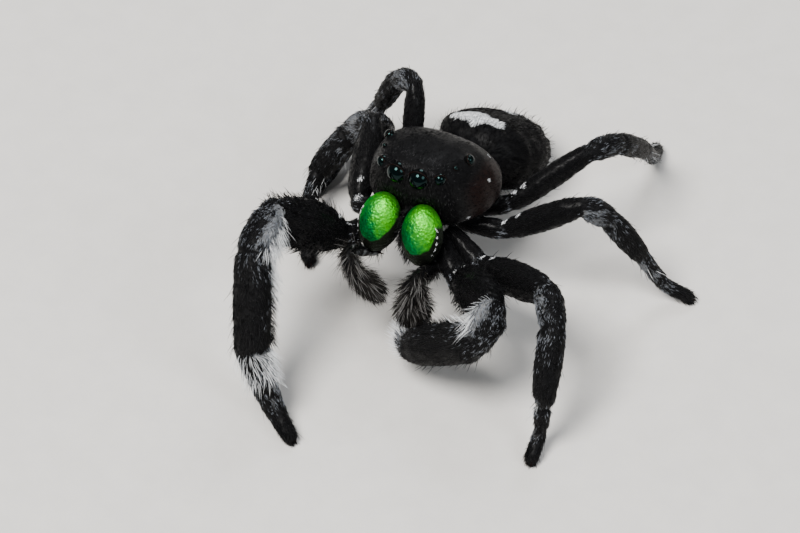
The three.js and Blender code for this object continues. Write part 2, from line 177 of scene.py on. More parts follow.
def length(name, description, default):
    return bpy.props.FloatProperty(
        name=name, description=description, default=default * MM, min=0.0, unit="LENGTH", precision=6
    )


def colour(name, description, default):
    return bpy.props.FloatVectorProperty(
        name=name, description=description, default=default, size=3, min=0.0, max=1.0, subtype="COLOR"
    )


def number(name, description, default):
    return bpy.props.FloatProperty(name=name, description=description, default=default, min=0.0)


class SpiderSizes(bpy.types.PropertyGroup):
    """Sizes of the skin and coat."""

    skin_grain: length("Skin grain", "Width of the skin's faces", 0.072)
    fur_length: length("Fur length", "Length of the short fur on the legs", 0.19)
    fur_width: length("Fur width", "Width of one tuft of short fur at its root", 0.024)
    bristle_length: length("Bristle length", "Length of the bristles that stand out", 0.42)
    fringe_length: length("Fringe length", "Length of the long hairs inside the front legs", 0.62)
    fur_density: number("Fur density", "Tufts of short fur on a square millimetre of leg", 280.0)
    rim_width: length("Eye rim", "Thickness of the raised rim round an eye", 0.035)
    pebble_depth: length("Pebble depth", "Relief of the jaws' pebbled plates", 0.006)


class SpiderColours(bpy.types.PropertyGroup):
    """Colours of the spider and the floor."""

    skin: colour("Skin", "Bare plates of the body", (0.0028, 0.0028, 0.0030))
    flank: colour("Flank", "Sides of the carapace", (0.010, 0.0038, 0.003))
    fur: colour("Fur", "Black fur", (0.0028, 0.0028, 0.0033))
    pale: colour("Pale hair", "White hairs and scales", (0.84, 0.86, 0.88))
    palp: colour("Palp hair", "Hairs on the palps", (0.020, 0.017, 0.015))
    # The upper jaw colour is the jaws' green with a painted iridescent sheen on it; the lower is their
    # emerald away from it.
    jaw_upper_sheen: colour("Jaw, upper", "Yellow green of the jaws", (0.080, 0.55, 0.007))
    jaw_lower: colour("Jaw, lower", "Emerald of the jaws", (0.00, 0.19, 0.045))
    # The eyes' faint blue green is a painted reflection on their black.
    eye: colour("Eye", "Deep colour of the eyes", (0.0004, 0.0014, 0.0016))
    floor: colour("Floor", "The floor under the spider", (0.66, 0.64, 0.61))


def size(name):
    """A size from the settings, in millimetres."""
    return getattr(bpy.context.scene.spider_sizes, name) / MM


def tone(name):
    return (*getattr(bpy.context.scene.spider_colours, name), 1.0)


# ---- The frame's shapes ------------------------------------------------------------------


def unit(vector):
    return vector / np.maximum(np.linalg.norm(vector, axis=-1, keepdims=True), 1e-9)


def mesh_places(mesh):
    places = np.empty(len(mesh.vertices) * 3, np.float32)
    mesh.vertices.foreach_get("co", places)
    return places.reshape(-1, 3).astype(float)


def mesh_corners(mesh):
    """The vertices of each triangle of a mesh."""
    mesh.calc_loop_triangles()
    corners = np.empty(len(mesh.loop_triangles) * 3, np.int32)
    mesh.loop_triangles.foreach_get("vertices", corners)
    return corners.reshape(-1, 3)


def mesh_normals(mesh):
    normals = np.empty(len(mesh.vertices) * 3, np.float32)
    mesh.vertices.foreach_get("normal", normals)
    return normals.reshape(-1, 3).astype(float)


def move_vertices(mesh, places):
    mesh.vertices.foreach_set("co", places.astype(np.float32).ravel())
    mesh.update()


def triangle_sides(corners):
    """Each triangle's normal, as long as twice its area."""
    return np.cross(corners[:, 1] - corners[:, 0], corners[:, 2] - corners[:, 0])


def triangle_areas(corners):
    return np.linalg.norm(triangle_sides(corners), axis=1) / 2


def scattered(corners, chosen, rng):
    """A random place in each of the chosen triangles, and the weights of its corners."""
    weights = rng.dirichlet((1, 1, 1), len(chosen))
    return np.einsum("nij,ni->nj", corners[chosen], weights), weights


def box_centre(node):
    low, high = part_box(node)
    return np.array((low + high) / 2) / MM


def node_places(node):
    return mesh_places(frame["nodes"][node].data) / MM


def eye_centre(eye, side):
    return box_centre(f"eye_{eye}_{side}")


def eye_radius(eye, side):
    low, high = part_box(f"eye_{eye}_{side}")
    return max(high - low) / 2 / MM


def find_head():
    """The point between the front middle eyes, and the head's directions across, back and up."""
    left, right = (eye_centre("front_middle", side) for side in SIDES)
    rear = sum(eye_centre("rear", side) for side in SIDES) / 2
    middle = (left + right) / 2
    across = unit(left - right)
    back = rear - middle
    back = unit(back - across * (back @ across))
    return middle, np.array([across, back, np.cross(across, back)])


HEAD_ORIGIN, HEAD_AXES = find_head()


def in_head(places):
    """Places as millimetres across, back and up from between the front middle eyes."""
    return (places - HEAD_ORIGIN) @ HEAD_AXES.T


def head_direction(parts, side="left"):
    across, back, up = parts
    return unit(np.array([across if side == "left" else -across, back, up]) @ HEAD_AXES)


def ripple(places, width, seed):
    """A smooth random value of about -1 to 1, which changes over a distance of the width."""
    rng = np.random.default_rng(seed)
    waves = rng.normal(0, 2.2 / width, (14, 3))
    return np.sin(places @ waves.T + rng.uniform(0, math.tau, 14)).sum(axis=1) / math.sqrt(7)


def smooth_step(values, low, high):
    share = ((values - low) / (high - low)).clip(0, 1)
    return share * share * (3 - 2 * share)


def bell(values, middle, width):
    """One at the middle, falling smoothly to nothing within a few widths."""
    return np.exp(-(((values - middle) / width) ** 2))


def laid_along(directions, normals):
    """Directions turned to lie along the surface that has these normals."""
    return unit(directions - normals * (directions * normals).sum(axis=1, keepdims=True))


class Line:
    """A node's middle line from its root to its far end, with how far its surface lies from it."""

    STATIONS = 9

    def __init__(self, samples, start, end):
        chord = end - start
        shares = (samples - start) @ chord / (chord @ chord)
        self.steps = np.linspace(0, 1, self.STATIONS)
        slices = [samples[abs(shares - step) < 0.6 / self.STATIONS] for step in self.steps[1:-1]]
        self.middles = np.array([start, *(near.mean(axis=0) for near in slices), end])
        self.directions = unit(np.gradient(self.middles, axis=0))
        self.length = np.linalg.norm(np.diff(self.middles, axis=0), axis=1).sum()
        radii = [
            np.linalg.norm(np.cross(near - middle, direction), axis=1).mean()
            for near, middle, direction in zip(slices, self.middles[1:-1], self.directions[1:-1])
        ]
        self.radii = np.array([radii[0], *radii, radii[-1]])

    def at(self, shares, values):
        return np.stack([np.interp(shares, self.steps, column) for column in values.T], axis=1)

    def locate(self, places):
        """Each place's share along the line, the line's direction there and the place's offset."""
        starts, ends = self.middles[:-1], self.middles[1:]
        runs = ends - starts
        parts = np.einsum("nij,ij->ni", places[:, None] - starts, runs) / (runs**2).sum(axis=1)
        parts = parts.clip(0, 1)
        gaps = np.linalg.norm(places[:, None] - starts - parts[..., None] * runs, axis=2)
        nearest = gaps.argmin(axis=1)
        shares = (nearest + parts[np.arange(len(places)), nearest]) / len(runs)
        return shares, unit(self.at(shares, self.directions)), places - self.at(shares, self.middles)


class Anatomy:
    """Every node of flesh, with its middle line, and which of them a place belongs to."""

    SAMPLES = 1000  # places on each node's surface
    TOUCHING = 0.075  # millimetres between nodes that meet

    def __init__(self):
        rng = np.random.default_rng(11)
        self.limbs = {}
        for side in SIDES:
            self.limbs[f"palp_{side}"] = [f"palp_{side}_{segment}" for segment in PALP_SEGMENTS]
            for order in range(1, 5):
                limb = f"leg{order}_{side}"
                self.limbs[limb] = [f"{limb}_{segment}" for segment in LEG_SEGMENTS]
        self.names = ["prosoma", "abdomen", "pedicel", "spinnerets"]
        self.names += [node for nodes in self.limbs.values() for node in nodes]
        self.samples, self.surfaces, self.lines = {}, {}, {}
        self.tree = KDTree(self.SAMPLES * len(self.names))
        for index, name in enumerate(self.names):
            mesh = frame["nodes"][name].data
            places, triangles = node_places(name), mesh_corners(mesh)
            corners = places[triangles]
            areas = triangle_areas(corners)
            chosen = rng.choice(len(corners), self.SAMPLES, p=areas / areas.sum())
            self.samples[name] = scattered(corners, chosen, rng)[0]
            self.surfaces[name] = BVHTree.FromPolygons(places.tolist(), triangles.tolist())
            for place in self.samples[name]:
                self.tree.insert(place, index)
        self.tree.balance()
        self.trace_body()
        for nodes in self.limbs.values():
            self.trace_limb(nodes)

    def meeting(self, name, other):
        """The middle of the face where two nodes meet."""
        gaps = [self.surfaces[other].find_nearest(place)[3] for place in self.samples[name]]
        return self.samples[name][np.array(gaps) < self.TOUCHING].mean(axis=0)

    def far_end(self, name, place):
        """The middle of the part of a node that is farthest from a place."""
        reach = np.linalg.norm(self.samples[name] - place, axis=1)
        return self.samples[name][reach >= np.quantile(reach, 0.96)].mean(axis=0)

    def trace_body(self):
        head = self.samples["prosoma"]
        back = in_head(head)[:, 1]
        front_end = head[back <= np.quantile(back, 0.03)].mean(axis=0)
        rear_end = head[back >= np.quantile(back, 0.98)].mean(axis=0)
        waist, tail = self.meeting("abdomen", "pedicel"), self.meeting("spinnerets", "abdomen")
        tail_end = self.far_end("spinnerets", waist)
        self.lines["prosoma"] = Line(head, front_end, rear_end)
        self.lines["abdomen"] = Line(self.samples["abdomen"], waist, tail)
        self.lines["pedicel"] = Line(self.samples["pedicel"], self.meeting("pedicel", "prosoma"), waist)
        self.lines["spinnerets"] = Line(self.samples["spinnerets"], tail, tail_end)

    def trace_limb(self, nodes):
        meetings = [self.meeting(node, after) for node, after in zip(nodes, nodes[1:])]
        starts = [self.far_end(nodes[0], meetings[0]), *meetings]
        ends = [*meetings, self.far_end(nodes[-1], meetings[-1])]
        for node, start, end in zip(nodes, starts, ends):
            self.lines[node] = Line(self.samples[node], start, end)

    def bend(self, name):
        """The place that a limb bends round, and the way the front of its bend faces."""
        nodes = self.limbs[name.rsplit("_", 1)[0]]
        upper, foot = self.lines[nodes[len(nodes) // 4]].middles, self.lines[nodes[-1]].middles
        front = unit(np.cross(upper[-1] - upper[0], foot[0] - upper[-1]))
        front *= np.sign(front @ (HEAD_AXES[2] - HEAD_AXES[1]))
        return (upper[len(upper) // 2] + foot[len(foot) // 2]) / 2, front

    def owners(self, places):
        """The index of the node that each place belongs to."""
        return np.array([self.tree.find(place)[1] for place in places])


# ---- Meshes ------------------------------------------------------------------------------


def shown_piece(name, mesh, finish, slot, *nodes):
    """Puts a mesh made in millimetres into the scene as a finished piece on the spider."""
    mesh.transform(Matrix.Scale(MM, 4))
    mesh.shade_smooth()
    mesh.materials.append(finish)
    piece = bpy.data.objects.new(name, mesh)
    bpy.context.scene.collection.objects.link(piece)
    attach(piece, BODY)
    if nodes:
        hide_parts(*nodes)
    return piece


def mesh_from(shape, name):
    """A mesh made of a bmesh, which is freed."""
    mesh = bpy.data.meshes.new(name)
    shape.to_mesh(mesh)
    shape.free()
    return mesh


def finished_by(mesh, name, kind, **settings):
    """A new mesh: the given one after one modifier."""
    carrier = bpy.data.objects.new(name, mesh)
    bpy.context.scene.collection.objects.link(carrier)
    modifier = carrier.modifiers.new(name, kind)
    for key, value in settings.items():
        setattr(modifier, key, value)
    shown = carrier.evaluated_get(bpy.context.evaluated_depsgraph_get())
    made = bpy.data.meshes.new_from_object(shown)
    bpy.data.objects.remove(carrier)
    bpy.data.meshes.remove(mesh)
    return made


def give(mesh, kind="FLOAT", **attributes):
    """Gives a mesh's vertices attributes of a kind, by name."""
    key = "vector" if kind == "FLOAT_VECTOR" else "value"
    for name, values in attributes.items():
        attribute = mesh.attributes.new(name, kind, "POINT")
        attribute.data.foreach_set(key, np.ascontiguousarray(values).ravel())


def taken(mesh, name):
    """The values of an attribute that give() gave a mesh."""
    attribute = mesh.attributes[name]
    if attribute.data_type == "FLOAT_VECTOR":
        values = np.empty(len(attribute.data) * 3, np.float32)
        attribute.data.foreach_get("vector", values)
        return values.reshape(-1, 3).astype(float)
    values = np.empty(len(attribute.data), np.int32 if attribute.data_type == "INT" else np.float32)
    attribute.data.foreach_get("value", values)
    return values


def add_ball(shape, centre, radius):
    place = Matrix.Translation(Vector(centre))
    bmesh.ops.create_icosphere(shape, subdivisions=3, radius=radius, matrix=place)


def facing(centre, aim):
    """The matrix that puts a shape's +Z along the aim, at a centre."""
    turn = Vector(aim).to_track_quat("Z", "Y").to_matrix().to_4x4()
    return Matrix.Translation(Vector(centre)) @ turn


# ---- Skin --------------------------------------------------------------------------------


def coat_depth(name):
    if name.endswith(("foot", "coxa")):
        return THIN_DEPTH
    return next((depth for start, depth in COAT_DEPTHS.items() if name.startswith(start)), THIN_DEPTH)


def drawn_in(name):
    """A copy of a node's mesh as a bmesh in millimetres, drawn in by the coat's depth."""
    shape = bmesh.new()
    shape.from_mesh(frame["nodes"][name].data)
    bmesh.ops.transform(shape, matrix=Matrix.Scale(1 / MM, 4), verts=shape.verts)
    bmesh.ops.remove_doubles(shape, verts=shape.verts, dist=0.003)
    bmesh.ops.join_triangles(
        shape, faces=shape.faces, angle_face_threshold=0.9, angle_shape_threshold=1.0
    )
    shape.normal_update()
    depth = coat_depth(name)
    for vertex in shape.verts:
        vertex.co -= vertex.normal * depth
    return shape


def gather(shapes):
    """One bmesh of several, which are freed."""
    whole = bmesh.new()
    for shape in shapes:
        mesh = mesh_from(shape, "part")
        whole.from_mesh(mesh)
        bpy.data.meshes.remove(mesh)
    return whole


def is_carved(name):
    """Nodes that their neighbours cut into, so that rounding them would buckle them."""
    return name in ("prosoma", "pedicel", "spinnerets") or name.startswith("palp") and "femur" in name


def add_joints(shape, anatomy):
    """Balls that join the segments of each limb, and the mouthparts that the palps grow from."""
    for limb, nodes in anatomy.limbs.items():
        for before, after in zip(nodes, nodes[1:]):
            radius = max(anatomy.lines[before].radii[-1], anatomy.lines[after].radii[0])
            add_ball(shape, anatomy.lines[after].middles[0], JOINT_SHARE * radius)
        if limb.startswith("palp"):
            side = limb.split("_")[1]
            root = anatomy.lines[nodes[0]].middles[0]
            socket = anatomy.lines[f"leg1_{side}_coxa"].middles[0]
            for share in MOUTH_STEPS:
                add_ball(shape, root + (socket - root) * share, MOUTH_RADIUS + MOUTH_GROWTH * share)


def add_eye_mounds(shape):
    """Fills the eye sockets behind the lenses, and raises the head round the outer eyes."""
    for side in SIDES:
        for eye in EYES:
            centre, radius = eye_centre(eye, side), eye_radius(eye, side)
            aim = head_direction(EYE_AIMS[eye], side)
            add_ball(shape, centre, SOCKET_SHARE * radius)
            if eye != "front_middle":
                add_ball(shape, centre - aim * MOUND_DEPTH * radius, MOUND_SHARE * radius)


def add_jaw_roots(shape):
    """Fills the hollows behind the jaws."""
    for side in SIDES:
        centre, axes, halves = jaw_frame(side)
        start = len(shape.verts)
        add_ball(shape, (0, 0, 0), 1)
        shape.verts.ensure_lookup_table()
        stretch = Matrix.Translation(Vector(centre)) @ Matrix(axes.T.tolist()).to_4x4()
        stretch = stretch @ Matrix.Diagonal((*(JAW_ROOT_SHARE * halves), 1))
        bmesh.ops.transform(shape, matrix=stretch, verts=shape.verts[start:])


def smoothed(mesh, rounds):
    """Smooths a mesh, with a number of rounds for each vertex."""
    shape = bmesh.new()
    shape.from_mesh(mesh)
    verts = list(shape.verts)
    for step in range(int(rounds.max())):
        chosen = [verts[index] for index in np.flatnonzero(rounds > step)]
        bmesh.ops.smooth_vert(
            shape, verts=chosen, factor=0.5, use_axis_x=True, use_axis_y=True, use_axis_z=True
        )
    shape.to_mesh(mesh)
    shape.free()


def swollen(mesh, anatomy, owners):
    """Brings the limbs and the abdomen out to the coat's depth under the solids' surface."""
    places = mesh_places(mesh)
    wanted = np.zeros(len(places))
    for index, (place, owner) in enumerate(zip(places.tolist(), owners)):
        name = anatomy.names[owner]
        if not is_carved(name):
            nearest, normal, _, _ = anatomy.surfaces[name].find_nearest(place)
            wanted[index] = -(Vector(place) - nearest).dot(normal) - coat_depth(name)
    wanted = wanted.clip(*SWELLING)
    edges = np.empty(len(mesh.edges) * 2, np.int32)
    mesh.edges.foreach_get("vertices", edges)
    first, second = edges.reshape(-1, 2).T
    ends, others = np.concatenate([first, second]), np.concatenate([second, first])
    around = np.bincount(ends, minlength=len(places))
    for _ in range(SWELLING_ROUNDS):
        wanted = 0.5 * wanted + 0.5 * np.bincount(ends, wanted[others], len(places)) / around
    move_vertices(mesh, places + mesh_normals(mesh) * wanted[:, None])


def limb_markings(name, shares):
    """How pale a limb's coat is at shares of a node's length."""
    limb, _, segment = name.split("_")
    if limb == "palp":
        return PALP_PALENESS[segment] * np.ones(len(shares))
    stops = np.array((FRONT_LEG_MARKINGS if limb == "leg1" else LEG_MARKINGS)[segment])
    paleness = next((value for start, value in PALENESS.items() if name.startswith(start)), 1.0)
    return np.interp(shares, *stops.T) * paleness


def abdomen_markings(places, line):
    """The white band across the front of the abdomen and the spots on its back."""
    start, chord = line.middles[0], line.middles[-1] - line.middles[0]
    sideways = unit(np.cross(chord, (0, 0, 1)))
    offsets = places - start
    shares = offsets @ chord / (chord @ chord)
    over, beside = offsets @ unit(np.cross(sideways, chord)), offsets @ sideways
    around = np.degrees(np.arctan2(-beside, over)) - MARKING_ROLL
    ends = abs(around) / BAND_REACH
    jagged = 0.010 * ripple(places, 0.16, 31)
    front = BAND_FRONT[0] + BAND_FRONT[1] * ends**1.3 + 0.8 * jagged
    rear = BAND_REAR[0] + BAND_REAR[1] * ends**1.5 + 1.4 * jagged

    def past(values, edge):
        return smooth_step(values, edge - 0.004, edge + 0.006)

    pale = past(shares, front) * past(-shares, -rear)
    pale *= 1 - smooth_step(ends + 2 * jagged, 0.97, 1.03)
    for share, degrees, radius in SPOTS:
        for turn in {degrees, -degrees}:
            apart = np.radians(around - turn) * np.hypot(over, beside)
            reach = np.hypot((shares - share) * ABDOMEN_LENGTH, apart) + 0.04 * ripple(places, 0.2, 32)
            pale = np.maximum(pale, 1 - smooth_step(reach, radius * 0.85, radius * 1.1))
    return pale


def clumped(pale, grain, seed):
    """Breaks a pale coat into streaks along the limb, the more the less pale it is."""
    streaks = smooth_step(ripple(grain * (0.45, 1.0, 1.0), 0.12, seed), -0.5, 0.9)
    return pale * (streaks + (1 - streaks) * smooth_step(pale, 0.55, 1.0))


def mark_skin(mesh, anatomy, owners):
    """Gives the skin the attributes that its finish and the coat read."""
    places, normals = mesh_places(mesh), mesh_normals(mesh)
    count = len(places)
    shares, turns, pale, flank, inward, forward, gloss = np.zeros((7, count))
    lays, grains = np.zeros((2, count, 3))
    for index, name in enumerate(anatomy.names):
        mine = np.flatnonzero(owners == index)
        if not len(mine):
            continue
        here = places[mine]
        share, direction, offset = anatomy.lines[name].locate(here)
        sideways = unit(np.cross(direction, (0, 0, 1)))
        above = np.cross(sideways, direction)
        over, beside = (offset * above).sum(axis=1), (offset * sideways).sum(axis=1)
        shares[mine] = share
        gloss[mine] = GLOSSES.get(name.split("_")[-1], 0.0)
        turns[mine] = np.arctan2(beside, over) / math.tau + 0.5
        lays[mine] = direction
        grains[mine] = np.stack([share * anatomy.lines[name].length, over, beside], axis=1)
        if name == "abdomen":
            pale[mine] = abdomen_markings(here, anatomy.lines[name])
        elif "_" in name:
            hub, front = anatomy.bend(name)
            inward[mine] = (normals[mine] * unit(hub - here)).sum(axis=1)
            forward[mine] = normals[mine] @ front
            near = smooth_step(0.6 * inward[mine] + 0.7 * forward[mine], -0.3, 0.4)
            shown = FAR_PALENESS + (1 - FAR_PALENESS) * near
            pale[mine] = clumped(limb_markings(name, share) * shown, grains[mine], index)
        elif name == "prosoma":
            across, back, up = in_head(here).T
            ways = zip((abs(across), -up, back), FLANK_EDGES)
            flank[mine] = math.prod(smooth_step(way, *edges) for way, edges in ways)
            face = smooth_step(-back, *FACE_EDGES)
            down = -HEAD_AXES[2]
            lays[mine] = unit(direction * (1 - face)[:, None] + down * face[:, None])
    give(mesh, "INT", region=owners.astype(np.int32))
    give(mesh, share=shares, turn=turns, pale=pale, flank=flank)
    give(mesh, inward=inward, forward=forward, gloss=gloss)
    give(mesh, "FLOAT_VECTOR", lay=laid_along(lays, normals), grain=grains)


def shape_skin(mesh, anatomy, owners):
    """Presses the folds and dimples into the skin."""
    places = mesh_places(mesh)
    rise = 0.006 * ripple(places, 0.16, 41)
    head = owners == anatomy.names.index("prosoma")
    across, back, up = in_head(places[head]).T
    rise[head] *= HEAD_RELIEF
    for dent in HEAD_DENTS:
        pressed = bell(across, 0, dent.width) * bell(back, dent.back, dent.length) * (up > 0)
        rise[head] -= dent.depth * pressed
    belly = owners == anatomy.names.index("abdomen")
    here = places[belly]
    share, _, offset = anatomy.lines["abdomen"].locate(here)
    sideways = offset @ HEAD_AXES[0]
    upward = unit(offset)[:, 2]
    outward = ((abs(sideways) - DIMPLE_OUT) / DIMPLE_WIDTH) ** 2
    dimples = sum(
        np.exp(-outward - (((share - at) * 5 / DIMPLE_LENGTH) ** 2)) for at in DIMPLE_SHARES
    )
    folds = np.sin(share * FOLD_WAVES + 0.7 * ripple(here, 0.9, 42)) * smooth_step(-upward, -0.35, 0.3)
    rise[belly] += (
        0.02 * ripple(here, 0.5, 43) - DIMPLE_DEPTH * dimples * (upward > 0.3) + FOLD_DEPTH * folds
    )
    move_vertices(mesh, places + mesh_normals(mesh) * rise[:, None])


def make_skin():
    anatomy = Anatomy()
    whole = gather(drawn_in(name) for name in anatomy.names if not is_carved(name))
    rounded = finished_by(mesh_from(whole, "flesh"), "rounding", "SUBSURF", levels=2, render_levels=2)
    whole = gather(drawn_in(name) for name in anatomy.names if is_carved(name))
    whole.from_mesh(rounded)
    bpy.data.meshes.remove(rounded)
    add_joints(whole, anatomy)
    add_eye_mounds(whole)
    add_jaw_roots(whole)
    mesh = finished_by(
        mesh_from(whole, "flesh"), "skin", "REMESH", mode="VOXEL", voxel_size=size("skin_grain")
    )
    owners = anatomy.owners(mesh_places(mesh))
    rounds = np.full(len(owners), SKIN_SMOOTHING)
    rounds[owners == anatomy.names.index("prosoma")] = HEAD_SMOOTHING
    smoothed(mesh, rounds)
    swollen(mesh, anatomy, owners)
    shape_skin(mesh, anatomy, owners)
    mark_skin(mesh, anatomy, owners)
    skin = shown_piece("skin", mesh, skin_finish(), "black_coat", *anatomy.names)
    skin["grown_from"] = anatomy.names


# ---- Eyes, jaws and claws ----------------------------------------------------------------


def make_eye(eye, side):
    centre, radius = eye_centre(eye, side), eye_radius(eye, side)
    aim = head_direction(EYE_AIMS[eye], side)
    shape = bmesh.new()
    bmesh.ops.create_uvsphere(
        shape, u_segments=48, v_segments=32, radius=radius, matrix=facing(centre, aim)
    )
    mesh = mesh_from(shape, f"lens_{eye}_{side}")
    give(mesh, outward=unit(mesh_places(mesh) - centre) @ aim)
    shown_piece(f"lens_{eye}_{side}", mesh, eye_finish(), "eye_lens", f"eye_{eye}_{side}")


def make_eye_rims():
    """A low raised ring where each lens leaves the head."""
    shape = bmesh.new()
    for side in SIDES:
        for eye in EYES:
            radius = eye_radius(eye, side)
            width = min(size("rim_width"), 0.22 * radius)
            place = facing(eye_centre(eye, side), head_direction(EYE_AIMS[eye], side))
            start = len(shape.verts)
            upright = Matrix.Rotation(math.pi / 2, 4, "X")
            at = Matrix.Translation((radius * 0.99, 0, 0.30 * radius)) @ upright
            made = bmesh.ops.create_circle(shape, segments=10, radius=width / 2, matrix=at)
            edges = list({edge for vertex in made["verts"] for edge in vertex.link_edges})
            bmesh.ops.spin(
                shape,
                geom=[*made["verts"], *edges],
                cent=(0, 0, 0),
                axis=(0, 0, 1),
                angle=math.tau,
                steps=40,
                use_merge=True,
            )
            shape.verts.ensure_lookup_table()
            bmesh.ops.transform(shape, matrix=place, verts=shape.verts[start:])
    bmesh.ops.recalc_face_normals(shape, faces=shape.faces)
    shown_piece("eye_rims", mesh_from(shape, "eye_rims"), shell_finish(), "dark_shell")


def jaw_frame(side):
    """A jaw's centre, its own directions outward, back and up, and its half sizes along them."""
    places = node_places(f"chelicera_{side}")
    centre = (places.max(axis=0) + places.min(axis=0)) / 2
    _, _, found = np.linalg.svd(places - centre, full_matrices=False)
    wanted = [head_direction(parts, side) for parts in ((1, 0, 0), (0, 1, 0), (0, 0, 1))]
    axes = np.array([found[abs(found @ want).argmax()] for want in wanted])
    axes *= np.sign((axes * wanted).sum(axis=1))[:, None]
    halves = abs((places - centre) @ axes.T).max(axis=0)
    return centre, axes, halves


def make_jaw(side):
    """A bulging pebbled plate, narrower at its lower end."""
    centre, axes, halves = jaw_frame(side)
    shape = bmesh.new()
    bmesh.ops.create_icosphere(shape, subdivisions=6, radius=1)
    mesh = mesh_from(shape, f"jaw_{side}")
    ball = mesh_places(mesh)
    outward, back, up = ball.T
    narrow = 1 - JAW_NARROWING * smooth_step(-up, 0.2, 1.0)
    local = np.stack([outward * narrow, back * narrow, up], axis=1) * halves
    places = centre + local @ axes
    bumps = sum(0.6 * ripple(places, width, 51 + order) for order, width in enumerate(PEBBLE_WIDTHS))
    normals = unit((ball / halves) @ axes)
    places += normals * (size("pebble_depth") * (1.25 - smooth_step(up, -0.6, 0.9)) * bumps)[:, None]
    move_vertices(mesh, places)
    beside, above = outward - PLATE_MIDDLE[0], up - PLATE_MIDDLE[1]
    reach = PLATE_REACH[0] - PLATE_CUT * (beside < 0) * smooth_step(-up, -0.3, 0.6)
    plate = np.hypot(beside / reach, above / PLATE_REACH[1])
    plate = plate + 0.03 * ripple(places, 0.3, 53) + (back > 0.25)
    # The hue paints an iridescent sheen: yellow green towards the top of each jaw and the spider's left
    # side, emerald away from it.
    leftward = outward if side == "left" else -outward
    give(mesh, height=up / 2 + 0.5, outer=outward / 2 + 0.5, facing=-back)
    give(mesh, plate=plate, hue=0.5 + 0.45 * leftward + 0.38 * up)
    shown_piece(f"jaw_{side}", mesh, jaw_finish(), "green_shell", f"chelicera_{side}")


def add_claw(shape, root, aim, bend, long, thick, turn):
    """A curved tapering claw that starts along the aim and bends towards another direction."""
    steps, taper = 7, 0.92
    along, towards = Vector(unit(aim)), Vector(unit(bend))
    hinge = along.cross(towards).normalized()
    made = bmesh.ops.create_circle(
        shape, cap_ends=True, segments=10, radius=thick / 2, matrix=facing(root, along)
    )
    ring = made["verts"]
    for step in range(steps):
        edges = {edge for vertex in ring for edge in vertex.link_edges}
        edges = [edge for edge in edges if all(vertex in ring for vertex in edge.verts)]
        extruded = bmesh.ops.extrude_edge_only(shape, edges=edges)["geom"]
        ring = [part for part in extruded if isinstance(part, bmesh.types.BMVert)]
        middle = sum((vertex.co for vertex in ring), Vector()) / len(ring)
        around = Matrix.Translation(middle) @ Matrix.Rotation(turn / steps, 4, hinge)
        bmesh.ops.transform(shape, matrix=around @ Matrix.Translation(-middle), verts=ring)
        along = Matrix.Rotation(turn / steps, 3, hinge) @ along
        bmesh.ops.translate(shape, vec=along * (long / steps), verts=ring)
        middle = middle + along * (long / steps)
        thinner = (1 - (step + 1) / steps * taper) / (1 - step / steps * taper)
        squeeze = Matrix.Translation(middle) @ Matrix.Scale(thinner, 4) @ Matrix.Translation(-middle)
        bmesh.ops.transform(shape, matrix=squeeze, verts=ring)
    bmesh.ops.contextual_create(shape, geom=ring)
    bmesh.ops.recalc_face_normals(shape, faces=shape.faces)


def make_fangs():
    """A short fang folded inwards under each jaw."""
    shape = bmesh.new()
    for side in SIDES:
        centre, axes, halves = jaw_frame(side)
        root = centre - axes[2] * 0.88 * halves[2] + axes[1] * 0.12 + axes[0] * 0.10
        aim, bend = -axes[2] - 0.9 * axes[0], -axes[0] + 0.6 * axes[1]
        add_claw(shape, root, aim, bend, long=0.55, thick=0.20, turn=0.9)
    shown_piece("fangs", mesh_from(shape, "fangs"), shell_finish(), "dark_shell")


def make_claws():
    """Two small curved claws on each foot."""
    anatomy = Anatomy()
    shape = bmesh.new()
    for limb, nodes in anatomy.limbs.items():
        if limb.startswith("leg"):
            line = anatomy.lines[nodes[-1]]
            ahead = unit(line.directions[-2] * (1, 1, 0))
            sideways = np.cross(ahead, (0, 0, 1))
            toe = line.middles[-1] * (1, 1, 0) + (0, 0, 0.22)
            for sign in (-1, 1):
                root = toe + ahead * 0.05 + sideways * 0.07 * sign
                aim = ahead + (0, 0, 0.35)
                add_claw(shape, root, aim, (0, 0, -1), long=0.26, thick=0.065, turn=1.7)
    shown_piece("claws", mesh_from(shape, "claws"), shell_finish(), "dark_shell")


# ---- Coat --------------------------------------------------------------------------------

Roots = namedtuple("Roots", "places normals lays regions shares turns pale")
# A kind of hair: its length and width in millimetres, how many degrees it rises from the
# skin, how much of that rise it loses by its tip, and how many rings its shaft has.
Hair = namedtuple("Hair", "length width rise fall rings")
SPREAD = 0.28  # how much lengths, widths and rises vary
SWAY = 0.16  # how far hairs turn aside from the lie of the coat
SHARED_SWAY = 1.2  # how much of that turn neighbouring hairs share
CORNERS = 3
ROOT_DEPTH = 0.012  # how far a hair starts under the skin
TAPER = 0.75
THINNESS = 0.7  # a hair's height as a share of its width
PATCH = 0.003  # width of a tuft's place on the baking map
FLOOR_CLEARANCE = 0.01  # hairs that reach the floor lie on it
FRINGES = {"left": (150, 34), "right": (230, 46)}  # hairs on a square millimetre, and their rise
PALE_FINISHES = ("pale_hair", "silver_hair", "grey_hair")


